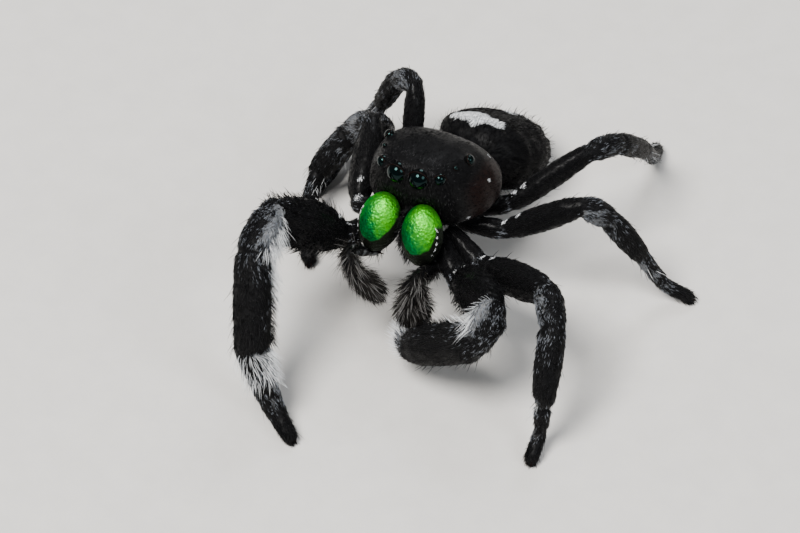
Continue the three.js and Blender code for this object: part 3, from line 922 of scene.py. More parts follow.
class Ground:
    """The skin as a place for hairs to grow."""

    def __init__(self):
        skin = bpy.data.objects["skin"]
        mesh = skin.data
        self.names = list(skin["grown_from"])
        self.corners = mesh_corners(mesh)
        self.places = mesh_places(mesh) / MM
        self.normals = mesh_normals(mesh)
        self.lays = taken(mesh, "lay")
        self.regions = taken(mesh, "region")
        self.shares = taken(mesh, "share")
        self.turns = taken(mesh, "turn")
        self.pale = taken(mesh, "pale")
        self.inward = taken(mesh, "inward")
        self.forward = taken(mesh, "forward")

    def on(self, *words):
        """One for each vertex on a node whose name has all these words, and zero elsewhere."""
        hits = np.array([all(word in name for word in words) for name in self.names], float)
        return hits[self.regions]

    def sow(self, cover, rng, density=1.0):
        """Roots for hairs: so many on a square millimetre, times the cover at each vertex."""
        corners = self.places[self.corners]
        wanted = (cover * density)[self.corners].mean(axis=1).clip(0)
        counts = rng.poisson(triangle_areas(corners) * wanted)
        chosen = np.repeat(np.arange(len(corners)), counts)
        places, weights = scattered(corners, chosen, rng)
        first = self.corners[chosen, 0]
        normals = unit(np.einsum("nij,ni->nj", self.normals[self.corners[chosen]], weights))
        return Roots(
            places, normals, self.lays[first], self.regions[first], self.shares[first],
            self.turns[first], self.pale[first],
        )


def baking_places(roots):
    """Where each root lies on an unwrap of the skin: a square for each node, its length by its girth."""
    found, cells = np.unique(roots.regions, return_inverse=True)
    across = math.ceil(math.sqrt(len(found)))
    inside = np.stack([roots.shares, roots.turns], axis=1).clip(0.02, 0.98)
    return (np.stack([cells % across, cells // across], axis=1) + inside) / across


def hair_mesh(name, roots, hair, rng):
    """Tapering three-sided hairs on roots, each with its place on the baking map."""
    count, rings = len(roots.places), hair.rings
    vary = 1 + SPREAD * rng.uniform(-1, 1, (3, count))
    rise = np.radians(hair.rise) * vary[2]
    sideways = unit(np.cross(roots.lays, roots.normals))
    sway = SWAY * (rng.normal(0, 1, count) + SHARED_SWAY * ripple(roots.places, 0.5, 61))
    lays = unit(roots.lays + sideways * sway[:, None])
    sideways = unit(np.cross(lays, roots.normals))

    def aimed(angle):
        return lays * np.cos(angle)[:, None] + roots.normals * np.sin(angle)[:, None]

    first, last = aimed(rise), aimed(rise * (1 - hair.fall))
    long, wide = hair.length * vary[0], hair.width * vary[1]
    reach = np.linspace(0, 1, rings + 1)
    spine = first[:, None] * reach[:, None] + (last - first)[:, None] * (reach**2 / 2)[:, None]
    spine = roots.places[:, None] - ROOT_DEPTH * roots.normals[:, None] + spine * long[:, None, None]
    runs = unit(first[:, None] + (last - first)[:, None] * reach[:, None])
    uprights = np.cross(sideways[:, None], runs)
    girth = wide[:, None] / 2 * (1 - TAPER * reach**1.5)
    turns = math.tau * (np.arange(CORNERS) / CORNERS + 0.25)
    around = (
        sideways[:, None, None] * np.cos(turns)[:, None]
        + THINNESS * uprights[:, :, None] * np.sin(turns)[:, None]
    )
    shafts = spine[:, :-1, None] + around[:, :-1] * girth[:, :-1, None, None]
    shafts = shafts.reshape(count, rings * CORNERS, 3)
    places = np.concatenate([shafts, spine[:, -1:]], axis=1)
    places[..., 2] = places[..., 2].clip(FLOOR_CLEARANCE)

    size_of_one = rings * CORNERS + 1
    corner = np.arange(CORNERS)
    after = (corner + 1) % CORNERS
    walls = [
        np.stack([low + corner, low + after, low + CORNERS + after, low + CORNERS + corner], axis=1)
        for low in range(0, (rings - 1) * CORNERS, CORNERS)
    ]
    quads = np.concatenate(walls)
    top = (rings - 1) * CORNERS
    tips = np.stack([top + corner, top + after, np.full(CORNERS, size_of_one - 1)], axis=1)
    triangles = np.concatenate([tips, [corner[::-1]]])
    pattern = np.concatenate([quads.ravel(), triangles.ravel()])
    lengths = np.array([4] * len(quads) + [3] * len(triangles))
    loops = (pattern + size_of_one * np.arange(count)[:, None]).ravel()
    totals = np.tile(lengths, count)

    mesh = bpy.data.meshes.new(name)
    mesh.vertices.add(places.shape[0] * size_of_one)
    mesh.vertices.foreach_set("co", places.astype(np.float32).ravel())
    mesh.loops.add(len(loops))
    mesh.loops.foreach_set("vertex_index", loops.astype(np.int32))
    mesh.polygons.add(len(totals))
    mesh.polygons.foreach_set("loop_start", (np.cumsum(totals) - totals).astype(np.int32))
    mesh.update(calc_edges=True)
    mesh.validate()

    level = np.append(np.repeat(reach[:-1], CORNERS), 1)
    column = np.append(np.tile(corner / CORNERS, rings), 0.5)
    give(mesh, reach=np.tile(level, count), tint=np.repeat(rng.random(count), size_of_one))
    patch = np.stack([level - 0.5, column - 0.5], axis=1) * PATCH
    flat = (baking_places(roots)[:, None] + patch).reshape(-1, 2)
    layer = mesh.uv_layers.new(name="OFBake")
    layer.data.foreach_set("uv", flat[loops].astype(np.float32).ravel())
    return mesh


def grow(name, roots, hair, finish, rng):
    """One piece of the coat, in one of the finishes of hair."""
    slot = "pale_hair" if finish in PALE_FINISHES else "black_coat"
    shown_piece(name, hair_mesh(name, roots, hair, rng), FINISHES[finish](), slot)


def make_leg_fur():
    """Short black fur and white scale hairs, one piece of each to a leg."""
    land = Ground()
    density = bpy.context.scene.spider_sizes.fur_density
    thinner = 1 - 0.4 * land.on("coxa") - 0.25 * land.on("femur")
    fur = Hair(length=size("fur_length"), width=size("fur_width"), rise=13, fall=0.6, rings=2)
    scales = Hair(length=0.8 * fur.length, width=0.8 * fur.width, rise=17, fall=0.6, rings=2)
    for side_index, side in enumerate(SIDES):
        for order in range(1, 5):
            rng = np.random.default_rng(100 * side_index + order)
            leg = land.on(f"leg{order}_{side}") * density
            roots = land.sow(leg * thinner * (1 - 0.8 * land.pale), rng)
            grow(f"fur_leg{order}_{side}", roots, fur, "black_hair", rng)
            roots = land.sow(leg * land.pale * (land.pale > 0.04), rng, density=3.0)
            grow(f"scales_leg{order}_{side}", roots, scales, "silver_hair", rng)


def make_bristles():
    """Black bristles that stand out from the legs, and the denser ones over the front femora."""
    land = Ground()
    rng = np.random.default_rng(301)
    legs = land.on("leg") * (1 - land.on("coxa")) * (1 - 0.6 * land.on("femur"))
    cover = legs * (1 - 0.7 * land.pale) * (3.5 + 2.0 * land.on("leg1"))
    bristle = Hair(length=size("bristle_length"), width=0.024, rise=30, fall=0.45, rings=3)
    grow("bristles_legs", land.sow(cover, rng), bristle, "black_hair", rng)
    upper = smooth_step(land.normals[:, 2], 0.0, 0.6)
    cover = land.on("leg1", "femur") * (4 + 40 * upper) + land.on("leg1", "tibia") * 4
    cover *= 0.5 + land.shares
    crest = bristle._replace(length=1.1 * bristle.length, rise=38, fall=0.4)
    grow("crest_front_legs", land.sow(cover, rng), crest, "black_hair", rng)


def make_fringes():
    """Long pale hairs on the inner and lower side of the front legs, and the tufts on their feet."""
    land = Ground()
    rng = np.random.default_rng(302)
    knees = smooth_step(0.8 * land.inward + 0.5 * land.forward, 0.1, 0.6)
    shins = smooth_step(0.95 * land.inward + 0.15 * land.forward, 0.1, 0.6)
    near = 1 - smooth_step(land.shares, 0.20, 0.62)
    below = smooth_step(land.inward, 0.1, 0.7)
    long = size("fringe_length")
    shade = Hair(length=0.70 * long, width=0.024, rise=44, fall=0.45, rings=3)
    for side in SIDES:
        knee, shin, thigh = (land.on(f"leg1_{side}_{part}") for part in ("patella", "tibia", "femur"))
        density, rise = FRINGES[side]
        fringe = Hair(length=long, width=0.019, rise=rise, fall=0.45, rings=4)
        roots = land.sow(knee * knees + shin * shins * near, rng, density)
        grow(f"fringe_{side}", roots, fringe, "pale_hair", rng)
        roots = land.sow((shin * (1 - 0.7 * near) + 0.4 * thigh) * below, rng, density=250)
        grow(f"fringe_dark_{side}", roots, shade, "black_hair", rng)
    feet = land.on("foot") * (1 - smooth_step(land.shares, 0.22, 0.40))
    feet *= 0.08 + 0.92 * land.on("leg1")
    feet *= 0.4 + 0.6 * smooth_step(0.7 * land.inward + 0.4 * land.forward, -0.3, 0.5)
    tuft = Hair(length=0.48, width=0.017, rise=48, fall=0.5, rings=3)
    grow("tufts_feet", land.sow(feet, rng, density=210), tuft, "pale_hair", rng)
    toes = land.on("foot") * smooth_step(land.shares, 0.72, 0.92)
    toes *= smooth_step(land.places[:, 2], 0.02, 0.2)
    pad = Hair(length=0.17, width=0.024, rise=36, fall=0.3, rings=2)
    roots = land.sow(toes * (180 + 160 * land.on("leg1")), rng)
    grow("pads_feet", roots, pad, "black_hair", rng)


def bare_of_jaws(places, margin=1.02):
    """One outside the jaws and zero inside them or near them."""
    bare = np.ones(len(places))
    for side in SIDES:
        centre, axes, halves = jaw_frame(side)
        bare *= np.linalg.norm((places - centre) @ axes.T / halves, axis=1) > margin
    return bare


def make_body_fur():
    """The fur of the abdomen with its white band, and the short fur of the head."""
    land = Ground()
    rng = np.random.default_rng(303)
    back = land.on("abdomen") + land.on("spinnerets") + land.on("pedicel")
    fur = Hair(length=0.19, width=0.022, rise=13, fall=0.6, rings=2)
    roots = land.sow(back * (1 - land.pale), rng, density=340)
    grow("fur_abdomen", roots, fur, "velvet_hair", rng)
    long = Hair(length=0.48, width=0.016, rise=36, fall=0.5, rings=3)
    roots = land.sow(land.on("abdomen") * (1 - land.pale), rng, density=17)
    grow("bristles_abdomen", roots, long, "velvet_hair", rng)
    band = Hair(length=0.17, width=0.044, rise=8, fall=0.5, rings=2)
    roots = land.sow(back * smooth_step(land.pale, 0.3, 0.7), rng, density=1000)
    grow("band_abdomen", roots, band, "pale_hair", rng)
    head = land.on("prosoma") * bare_of_jaws(land.places)
    front = 1 - smooth_step(in_head(land.places)[:, 1], 0.0, 0.6)
    fur = Hair(length=0.14, width=0.030, rise=9, fall=0.6, rings=2)
    grow("fur_head", land.sow(head * (270 + 110 * front), rng), fur, "velvet_hair", rng)
    long = Hair(length=0.32, width=0.020, rise=42, fall=0.45, rings=3)
    grow("bristles_head", land.sow(head * (1.2 + 6 * front), rng), long, "velvet_hair", rng)


def make_dots():
    """Small round tufts of white on the head and the femora."""
    land = Ground()
    rng = np.random.default_rng(307)
    tufts = np.zeros(len(land.places))

    def add_dot(mine, aim, radius):
        centre = land.places[mine][np.linalg.norm(land.places[mine] - aim, axis=1).argmin()]
        nonlocal tufts
        tufts += np.exp(-(((land.places - centre) ** 2).sum(axis=1) / radius**2))

    for side, sign in zip(SIDES, (1, -1)):
        for *dot, radius in HEAD_DOTS:
            aim = HEAD_ORIGIN + np.array(dot) * (sign, 1, 1) @ HEAD_AXES
            add_dot(land.on("prosoma") > 0, aim, radius)
        for order in range(1, 5):
            mine = land.on(f"leg{order}_{side}_femur") > 0
            for dot in FEMUR_DOTS:
                ring = mine & (abs(land.shares - dot) < 0.06)
                add_dot(mine, land.places[ring][land.normals[ring][:, 2].argmax()], DOT_RADIUS)
    hair = Hair(length=0.075, width=0.028, rise=30, fall=0.5, rings=2)
    grow("dots", land.sow(tufts, rng, density=3600), hair, "pale_hair", rng)


def make_face_hair():
    """Sparse grey hairs between and under the front eyes, and denser ones round their upper part that
    paint a grey sheen.
    """
    land = Ground()
    rng = np.random.default_rng(304)
    _, back, up = in_head(land.places).T
    bare = land.on("prosoma") * bare_of_jaws(land.places)
    front = bare * smooth_step(-back, -0.45, -0.1)
    low = smooth_step(-up, 0.35, 0.6)
    # Round the upper part of the front eyes the grey hairs are painted sheen; under the eyes they are
    # the face's grey hairs.
    brow_sheen = bell(up, 0.35, 0.3) * smooth_step(-back, -0.9, -0.3)
    roots = land.sow(bare * (10 + 130 * brow_sheen) + front * (20 + 110 * low), rng)
    grey = Hair(length=0.12, width=0.015, rise=14, fall=0.4, rings=2)
    grow("hair_face_and_sheen", roots, grey, "face_hair_and_sheen", rng)


def make_palp_hair():
    """Long grey hairs over short brown ones on the palps."""
    land = Ground()
    rng = np.random.default_rng(305)
    palps = land.on("palp") * bare_of_jaws(land.places, 1.4)
    upper = smooth_step(land.normals[:, 2], -0.1, 0.6)
    pale = Hair(length=0.58, width=0.017, rise=46, fall=0.45, rings=4)
    roots = land.sow(palps * (land.on("tibia") + 0.25 * land.on("femur")) * (34 + 60 * upper), rng)
    grow("hair_palps_pale", roots, pale, "grey_hair", rng)
    dark = Hair(length=0.34, width=0.024, rise=34, fall=0.5, rings=3)
    roots = land.sow(palps * (190 + 110 * land.on("cymbium")), rng)
    grow("hair_palps_dark", roots, dark, "brown_hair", rng)
    roots = land.sow(palps * land.on("cymbium") * (26 + 50 * upper), rng)
    grow("hair_palps_tips", roots, pale._replace(length=0.44), "grey_hair", rng)


def jaw_roots(side, measure, rng, density):
    """Roots on a jaw: so many on a square millimetre, times a measure of where on it they are."""
    mesh = bpy.data.objects[f"jaw_{side}"].data
    corners = mesh_corners(mesh)
    places = mesh_places(mesh) / MM
    _, axes, _ = jaw_frame(side)
    height, outer, front = (taken(mesh, name) for name in ("height", "outer", "facing"))
    wanted = (density * measure(2 * outer - 1, -front, 2 * height - 1))[corners].mean(axis=1)
    counts = rng.poisson(triangle_areas(places[corners]) * wanted)
    chosen = np.repeat(np.arange(len(corners)), counts)
    found, _ = scattered(places[corners], chosen, rng)
    normals = unit(triangle_sides(places[corners])[chosen])
    lays = laid_along(np.tile(-axes[2] - 0.5 * axes[1], (len(found), 1)), normals)
    first = corners[chosen, 0]
    return Roots(
        found, normals, lays, np.zeros(len(found), int), height[first], outer[first],
        np.ones(len(found)),
    )


def jaw_dots(outward, back, up):
    ball = np.stack([outward, back, up], axis=1)
    gaps = np.linalg.norm(ball[:, None] - np.array(JAW_DOTS), axis=2).min(axis=1)
    return bell(gaps, 0, JAW_DOT_SPREAD)


def jaw_inner_edge(outward, back, up):
    edge = smooth_step(-outward, 0.45, 0.7) * smooth_step(back, -0.45, -0.2)
    return edge * smooth_step(0.6 - back, 0, 0.2) * smooth_step(0.95 - up, 0, 0.3)


def make_jaw_bristles():
    """White dots down the outer edge of each jaw, and black hairs along its inner edge."""
    rng = np.random.default_rng(306)
    bristle = Hair(length=0.050, width=0.026, rise=40, fall=0.5, rings=2)
    for side in SIDES:
        roots = jaw_roots(side, jaw_dots, rng, density=9000)
        grow(f"bristles_jaw_{side}", roots, bristle, "pale_hair", rng)
    rng = np.random.default_rng(308)
    fringe = Hair(length=0.31, width=0.026, rise=50, fall=0.4, rings=3)
    for side in SIDES:
        roots = jaw_roots(side, jaw_inner_edge, rng, density=600)
        grow(f"fringe_jaw_{side}", roots, fringe, "black_hair", rng)


# ---- Finishes ----------------------------------------------------------------------------


class Finish:
    """A material being put together round its one shader."""

    def __init__(self, name, **settings):
        self.material = bpy.data.materials.new(name)
        self.material.use_nodes = True
        self.tree = self.material.node_tree
        self.shader = self.tree.nodes["Principled BSDF"]
        for socket, value in settings.items():
            self.shader.inputs[socket.replace("_", " ")].default_value = value

    def add(self, kind, links=(), values=(), **settings):
        return add_node(self.tree, kind, links, values, **settings)

    def feed(self, socket, output):
        self.tree.links.new(output, self.shader.inputs[socket])


def add_node(tree, kind, links=(), values=(), **settings):
    """A shader node with settings, and with links into and values on its sockets."""
    node = tree.nodes.new(kind)
    for key, value in settings.items():
        setattr(node, key, value)
    for socket, value in dict(values).items():
        node.inputs[socket].default_value = value
    for socket, output in dict(links).items():
        tree.links.new(output, node.inputs[socket])
    return node


def read(tree, name, output="Fac"):
    return add_node(tree, "ShaderNodeAttribute", attribute_name=name).outputs[output]


def blend(tree, share, first, second):
    """A colour between two, which are each a colour or an output."""
    node = add_node(tree, "ShaderNodeMix", data_type="RGBA")
    for socket, value in ((0, share), (6, first), (7, second)):
        if isinstance(value, bpy.types.NodeSocket):
            tree.links.new(value, node.inputs[socket])
        else:
            node.inputs[socket].default_value = value
    return node.outputs[2]


def ranged(tree, value, low, high, to_low=0.0, to_high=1.0):
    node = add_node(
        tree, "ShaderNodeMapRange", {"Value": value},
        {"From Min": low, "From Max": high, "To Min": to_low, "To Max": to_high},
    )
    return node.outputs["Result"]


def shared_group(name, inputs, outputs):
    """A new node group with named sockets, and its input and output nodes."""
    group = bpy.data.node_groups.new(name, "ShaderNodeTree")
    for label, kind in inputs:
        group.interface.new_socket(name=label, in_out="INPUT", socket_type=kind)
    for label, kind in outputs:
        group.interface.new_socket(name=label, in_out="OUTPUT", socket_type=kind)
    entry, end = (group.nodes.new(kind) for kind in ("NodeGroupInput", "NodeGroupOutput"))
    return group, entry, end


def fine_grain():
    """Small cells and speckles: a height for relief and a mask for colour."""
    if "fine_grain" in bpy.data.node_groups:
        return bpy.data.node_groups["fine_grain"]
    group, entry, end = shared_group(
        "fine_grain",
        [("Vector", "NodeSocketVector"), ("Scale", "NodeSocketFloat"), ("Cells", "NodeSocketFloat")],
        [("Height", "NodeSocketFloat"), ("Mask", "NodeSocketFloat")],
    )
    places = {socket: entry.outputs[socket] for socket in ("Vector", "Scale")}
    noise = add_node(group, "ShaderNodeTexNoise", places, {"Detail": 4.0, "Roughness": 0.6})
    cells = add_node(group, "ShaderNodeTexVoronoi", places, feature="SMOOTH_F1")
    domes = ranged(group, cells.outputs["Distance"], 0.0, 0.7, 1.0, 0.0)
    share = entry.outputs["Cells"]
    height = add_node(group, "ShaderNodeMix", {0: share, 2: noise.outputs["Fac"], 3: domes})
    group.links.new(height.outputs[0], end.inputs["Height"])
    group.links.new(ranged(group, noise.outputs["Fac"], 0.35, 0.65), end.inputs["Mask"])
    return group


def grain_node(finish, vector, scale, cells):
    node = add_node(finish.tree, "ShaderNodeGroup", node_tree=fine_grain())
    finish.tree.links.new(vector, node.inputs["Vector"])
    node.inputs["Scale"].default_value = scale
    node.inputs["Cells"].default_value = cells
    return node


def relief(finish, height, strength, depth):
    """Relief over a finish, with its depth in millimetres."""
    settings = {"Strength": strength, "Distance": depth * MM}
    bump = finish.add("ShaderNodeBump", {"Height": height}, settings)
    finish.feed("Normal", bump.outputs["Normal"])


def object_places(finish):
    return finish.add("ShaderNodeTexCoord").outputs["Object"]


def made_once(maker):
    """Each finish is made when it is first wanted."""
    made = []

    def finish():
        if not made:
            made.append(maker())
        return made[0]

    return finish


def skin_finish():
    """Black plates with fine lines along the limbs, red flanks and a grey ground for white hair."""
    finish = Finish("spider_skin", Roughness=0.34, Specular_IOR_Level=0.05)
    tree = finish.tree
    grain = {"Vector": read(tree, "grain", "Vector")}
    stretched = finish.add("ShaderNodeMapping", grain, {"Scale": (0.22, 1.0, 1.0)})
    hairs = grain_node(finish, stretched.outputs["Vector"], 26.0, 0.1)
    plates = grain_node(finish, object_places(finish), 9000.0, 0.7)
    base = blend(tree, plates.outputs["Mask"], tone("skin"), scaled(tone("skin"), 2.0))
    sides = blend(tree, read(tree, "flank"), base, tone("flank"))
    pale = ranged(tree, read(tree, "pale"), 0.35, 0.95, 0.0, 0.75)
    finish.feed("Base Color", blend(tree, pale, sides, scaled(tone("pale"), 0.3)))
    rough = ranged(tree, hairs.outputs["Mask"], 0.0, 1.0, 0.34, 0.52)
    polish = ranged(tree, read(tree, "gloss"), 0.0, 1.0, 0.0, 0.24)
    smoother = finish.add("ShaderNodeMath", {0: rough, 1: polish}, operation="SUBTRACT")
    finish.feed("Roughness", smoother.outputs[0])
    heights = {2: plates.outputs["Height"], 3: hairs.outputs["Height"]}
    height = finish.add("ShaderNodeMix", heights, {0: 0.6})
    relief(finish, height.outputs[0], 0.55, 0.02)
    return finish.material


@made_once
def shell_finish():
    """The dark brown of claws, fangs and eye rims."""
    finish = Finish("spider_dark_shell", Roughness=0.45, Specular_IOR_Level=0.06)
    grain = grain_node(finish, object_places(finish), 14000.0, 0.4)
    colours = (0.003, 0.002, 0.002, 1), (0.010, 0.004, 0.003, 1)
    finish.feed("Base Color", blend(finish.tree, grain.outputs["Mask"], *colours))
    relief(finish, grain.outputs["Height"], 0.3, 0.006)
    return finish.material


@made_once
def eye_finish():
    """Glossy black, with a faint painted blue-green reflection in its colour."""
    finish = Finish(
        "spider_eye", Roughness=0.07, Specular_IOR_Level=0.16, Specular_Tint=(0.45, 1.0, 0.97, 1.0),
    )
    tree = finish.tree
    depth = read(tree, "outward")
    grain = grain_node(finish, object_places(finish), 4000.0, 0.0)
    # A band between the brownish rim and the black centre, and random clouds, take the eye colour: a
    # painted blue-green reflection.
    ring = blend(tree, ranged(tree, depth, 0.35, 0.75), (0.002, 0.0015, 0.0015, 1), tone("eye"))
    centre = blend(tree, ranged(tree, depth, 0.80, 0.97), ring, (0.0004, 0.0008, 0.001, 1))
    clouds = ranged(tree, grain.outputs["Mask"], 0, 1, 0, 0.15)
    finish.feed("Base Color", blend(tree, clouds, centre, tone("eye")))
    return finish.material


@made_once
def jaw_finish():
    """Pebbled green with a black edge; its hue paints an iridescent sheen, yellow green towards the top
    and the spider's left.
    """
    finish = Finish(
        "spider_jaw", Roughness=0.5, Metallic=1.0, Specular_IOR_Level=0.15,
        Specular_Tint=(0.3, 1.0, 0.3, 1.0),
    )
    tree = finish.tree
    places = object_places(finish)
    broad = grain_node(finish, places, 4200.0, 0.0)
    fine = grain_node(finish, places, 13000.0, 0.9)
    wander = ranged(tree, broad.outputs["Height"], 0.3, 0.7, -0.16, 0.16)
    # Emerald to yellow green by the hue: the jaws' own green under a painted iridescent sheen, with
    # random wander.
    hue = finish.add("ShaderNodeMath", {0: read(tree, "hue"), 1: wander}, operation="ADD")
    upper = ranged(tree, hue.outputs[0], 0.40, 0.80)
    green = blend(tree, upper, tone("jaw_lower"), tone("jaw_upper_sheen"))
    mottle = ranged(tree, fine.outputs["Mask"], 0.0, 1.0, 0.0, 0.45)
    flecks = blend(tree, mottle, green, tone("jaw_lower"))
    rim = ranged(tree, read(tree, "plate"), 0.93, 1.04)
    finish.feed("Base Color", blend(tree, rim, flecks, (0.005, 0.004, 0.004, 1)))
    finish.feed("Metallic", ranged(tree, read(tree, "plate"), 1.04, 0.93))
    finish.feed("Roughness", ranged(tree, fine.outputs["Mask"], 0.0, 1.0, 0.46, 0.60))
    relief(finish, fine.outputs["Height"], 0.9, 0.02)
    return finish.material


def hair_finish(name, root, tip, roughness, gloss, darkest=0.55):
    """Hairs that differ from one another and change from root to tip."""
    finish = Finish(name, Roughness=roughness, Specular_IOR_Level=gloss)
    tree = finish.tree
    shaft = blend(tree, read(tree, "reach"), root, tip)
    darker = finish.add("ShaderNodeHueSaturation", {"Color": shaft}, {"Saturation": 0.9})
    tree.links.new(ranged(tree, read(tree, "tint"), 0.0, 1.0, darkest, 1.25), darker.inputs["Value"])
    finish.feed("Base Color", darker.outputs["Color"])
    return finish.material


def scaled(values, factor):
    return tuple(value * factor for value in values[:3]) + (1.0,)


def hair_kind(name, root, tip, roughness, gloss, darkest=0.55):
    """A finish of hair, whose colours are asked for when it is first wanted."""
    return made_once(lambda: hair_finish(name, root(), tip(), roughness, gloss, darkest))


def toned(name, factor=1.0):
    """Asks for a colour from the settings, made brighter or darker."""
    return lambda: scaled(tone(name), factor)


def plain(red, green, blue):
    """Asks for a colour that stays the same."""
    return lambda: (red, green, blue, 1)


FINISHES = {
    "black_hair": hair_kind("hair_black", toned("fur"), toned("fur", 1.5), 0.38, 0.15),
    "velvet_hair": hair_kind("hair_velvet", toned("fur"), toned("fur", 1.3), 0.6, 0.045),
    "pale_hair": hair_kind("hair_pale", toned("pale", 0.8), toned("pale"), 0.5, 0.4, darkest=0.75),
    "silver_hair": hair_kind(
        "hair_silver", plain(0.10, 0.11, 0.13), plain(0.33, 0.36, 0.41), 0.4, 0.4, darkest=0.35
    ),
    "grey_hair": hair_kind("hair_grey", plain(0.06, 0.055, 0.05), plain(0.36, 0.35, 0.34), 0.5, 0.2),
    # Grey face hairs, whose lighter tips also paint the grey sheen round the front eyes.
    "face_hair_and_sheen": hair_kind(
        "hair_face_and_sheen", plain(0.015, 0.015, 0.015), plain(0.10, 0.10, 0.105), 0.5, 0.12
    ),
    "brown_hair": hair_kind("hair_brown", toned("palp", 0.35), toned("palp"), 0.45, 0.12),
}


# ---- Stage -------------------------------------------------------------------------------

VIEW_AZIMUTH = 28.0
VIEW_ELEVATION = 46.5
VIEW_DISTANCE = 150.0
LENS = 202.5
LOOKS_AT = (-0.911, 1.107, -5.771)  # from the middle of the front eyes
# The lamps: degrees round and above the spider, distance and width in millimetres, watts, colour.
LAMPS = {
    "key": (-20, 62, 260, 120, 1.35, (1.0, 0.98, 0.95)),
    "fill": (75, 40, 280, 140, 0.35, (0.92, 0.96, 1.0)),
    "rim": (190, 45, 280, 120, 0.3, (0.95, 0.97, 1.0)),
}
SKY = (0.92, 0.95, 1.0, 1.0)
SKY_STRENGTH = 0.22


def view_direction(azimuth, elevation):
    """The way back to the camera, or out to a lamp."""
    around, above = math.radians(azimuth), math.radians(elevation)
    level = math.cos(above)
    return Vector((math.sin(around) * level, -math.cos(around) * level, math.sin(above)))


def add_lamp(name, azimuth, elevation, distance, width, power, warmth):
    lamp = bpy.data.lights.new(name, "AREA")
    lamp.shape = "DISK"
    lamp.size = width * MM
    lamp.energy = power
    lamp.color = warmth
    holder = bpy.data.objects.new(name, lamp)
    back = view_direction(azimuth, elevation)
    holder.location = back * distance * MM
    holder.rotation_euler = (-back).to_track_quat("-Z", "Y").to_euler()
    bpy.context.scene.collection.objects.link(holder)


def make_floor():
    shape = bmesh.new()
    bmesh.ops.create_grid(shape, x_segments=8, y_segments=8, size=0.6)
    mesh = mesh_from(shape, "floor")
    finish = Finish("floor_card", Roughness=0.75)
    grain = grain_node(finish, object_places(finish), 900.0, 0.0)
    paper = blend(finish.tree, grain.outputs["Mask"], tone("floor"), scaled(tone("floor"), 0.95))
    finish.feed("Base Color", paper)
    relief(finish, grain.outputs["Height"], 0.15, 0.05)
    mesh.materials.append(finish.material)
    floor = bpy.data.objects.new("floor", mesh)
    bpy.context.scene.collection.objects.link(floor)


def make_camera():
    camera = bpy.data.cameras.new("view")
    camera.lens = LENS
    camera.sensor_width = 36.0
    camera.clip_start = 0.001
    holder = bpy.data.objects.new("view", camera)
    back = view_direction(VIEW_AZIMUTH, VIEW_ELEVATION)
    target = Vector(HEAD_ORIGIN + np.array(LOOKS_AT)) * MM
    holder.location = target + back * VIEW_DISTANCE * MM
    holder.rotation_euler = (-back).to_track_quat("-Z", "Y").to_euler()
    bpy.context.scene.collection.objects.link(holder)
    bpy.context.scene.camera = holder


def make_world():
    world = bpy.data.worlds.new("studio")
    bpy.context.scene.world = world
    world.use_nodes = True
    sky = world.node_tree.nodes["Background"]
    sky.inputs["Color"].default_value = SKY
    sky.inputs["Strength"].default_value = SKY_STRENGTH


# ---- Operators ---------------------------------------------------------------------------


class SPIDER_OT_skin(bpy.types.Operator):
    """Make the one skin of the body, legs and palps"""

    bl_idname = "spider.skin"
    bl_label = "Skin"

    def execute(self, context):
        make_skin()
        return {"FINISHED"}


class SPIDER_OT_eyes(bpy.types.Operator):
    """Make the eight lenses and the rims round them"""

    bl_idname = "spider.eyes"
    bl_label = "Eyes"

    def execute(self, context):
        for side in SIDES:
            for eye in EYES:
                make_eye(eye, side)
        make_eye_rims()
        return {"FINISHED"}


class SPIDER_OT_jaws(bpy.types.Operator):
    """Make the two green jaws with their fangs and bristles"""

    bl_idname = "spider.jaws"
    bl_label = "Jaws"

    def execute(self, context):
        for side in SIDES:
            make_jaw(side)
        make_fangs()
        make_jaw_bristles()
        return {"FINISHED"}


class SPIDER_OT_claws(bpy.types.Operator):
    """Make the pair of claws on each foot"""

    bl_idname = "spider.claws"
    bl_label = "Claws"

    def execute(self, context):
        make_claws()
        return {"FINISHED"}


class SPIDER_OT_leg_fur(bpy.types.Operator):
    """Grow the short fur and white scales of the legs"""

    bl_idname = "spider.leg_fur"
    bl_label = "Leg fur"

    def execute(self, context):
        make_leg_fur()
        return {"FINISHED"}


class SPIDER_OT_long_hair(bpy.types.Operator):
    """Grow the bristles, fringes and tufts that stand out from the legs"""

    bl_idname = "spider.long_hair"
    bl_label = "Bristles and fringes"

    def execute(self, context):
        make_bristles()
        make_fringes()
        return {"FINISHED"}


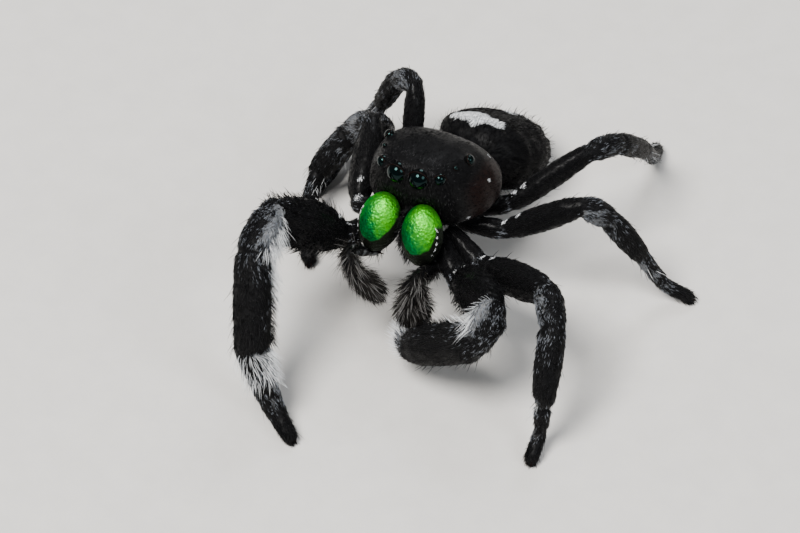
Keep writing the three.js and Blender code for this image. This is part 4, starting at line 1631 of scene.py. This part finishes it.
class SPIDER_OT_body_fur(bpy.types.Operator):
    """Grow the fur of the head and abdomen"""

    bl_idname = "spider.body_fur"
    bl_label = "Body fur"

    def execute(self, context):
        make_body_fur()
        make_face_hair()
        make_dots()
        return {"FINISHED"}


class SPIDER_OT_palp_hair(bpy.types.Operator):
    """Grow the hair of the palps"""

    bl_idname = "spider.palp_hair"
    bl_label = "Palp hair"

    def execute(self, context):
        make_palp_hair()
        return {"FINISHED"}


class SPIDER_OT_stage(bpy.types.Operator):
    """Set the floor, the lamps and the camera"""

    bl_idname = "spider.stage"
    bl_label = "Stage"

    def execute(self, context):
        make_floor()
        make_world()
        for name, settings in LAMPS.items():
            add_lamp(name, *settings)
        make_camera()
        return {"FINISHED"}


OPERATORS = (
    SPIDER_OT_skin,
    SPIDER_OT_eyes,
    SPIDER_OT_jaws,
    SPIDER_OT_claws,
    SPIDER_OT_leg_fur,
    SPIDER_OT_long_hair,
    SPIDER_OT_body_fur,
    SPIDER_OT_palp_hair,
    SPIDER_OT_stage,
)


class SPIDER_PT_parts(bpy.types.Panel):
    """Lists the spider's settings and parts"""

    bl_idname = "SPIDER_PT_parts"
    bl_label = "Jumping spider"
    bl_space_type = "VIEW_3D"
    bl_region_type = "UI"
    bl_category = "Spider"

    def draw(self, context):
        for settings in (context.scene.spider_sizes, context.scene.spider_colours):
            for name in settings.__annotations__:
                self.layout.prop(settings, name)
        for operator in OPERATORS:
            self.layout.operator(operator.bl_idname)


CLASSES = (SpiderSizes, SpiderColours, *OPERATORS, SPIDER_PT_parts)


def register():
    for item in CLASSES:
        bpy.utils.register_class(item)
    bpy.types.Scene.spider_sizes = bpy.props.PointerProperty(type=SpiderSizes)
    bpy.types.Scene.spider_colours = bpy.props.PointerProperty(type=SpiderColours)


def unregister():
    del bpy.types.Scene.spider_colours
    del bpy.types.Scene.spider_sizes
    for item in reversed(CLASSES):
        bpy.utils.unregister_class(item)


def main():
    register()
    for operator in OPERATORS:
        group, name = operator.bl_idname.split(".")
        getattr(getattr(bpy.ops, group), name)()


if __name__ == "__main__":
    main()
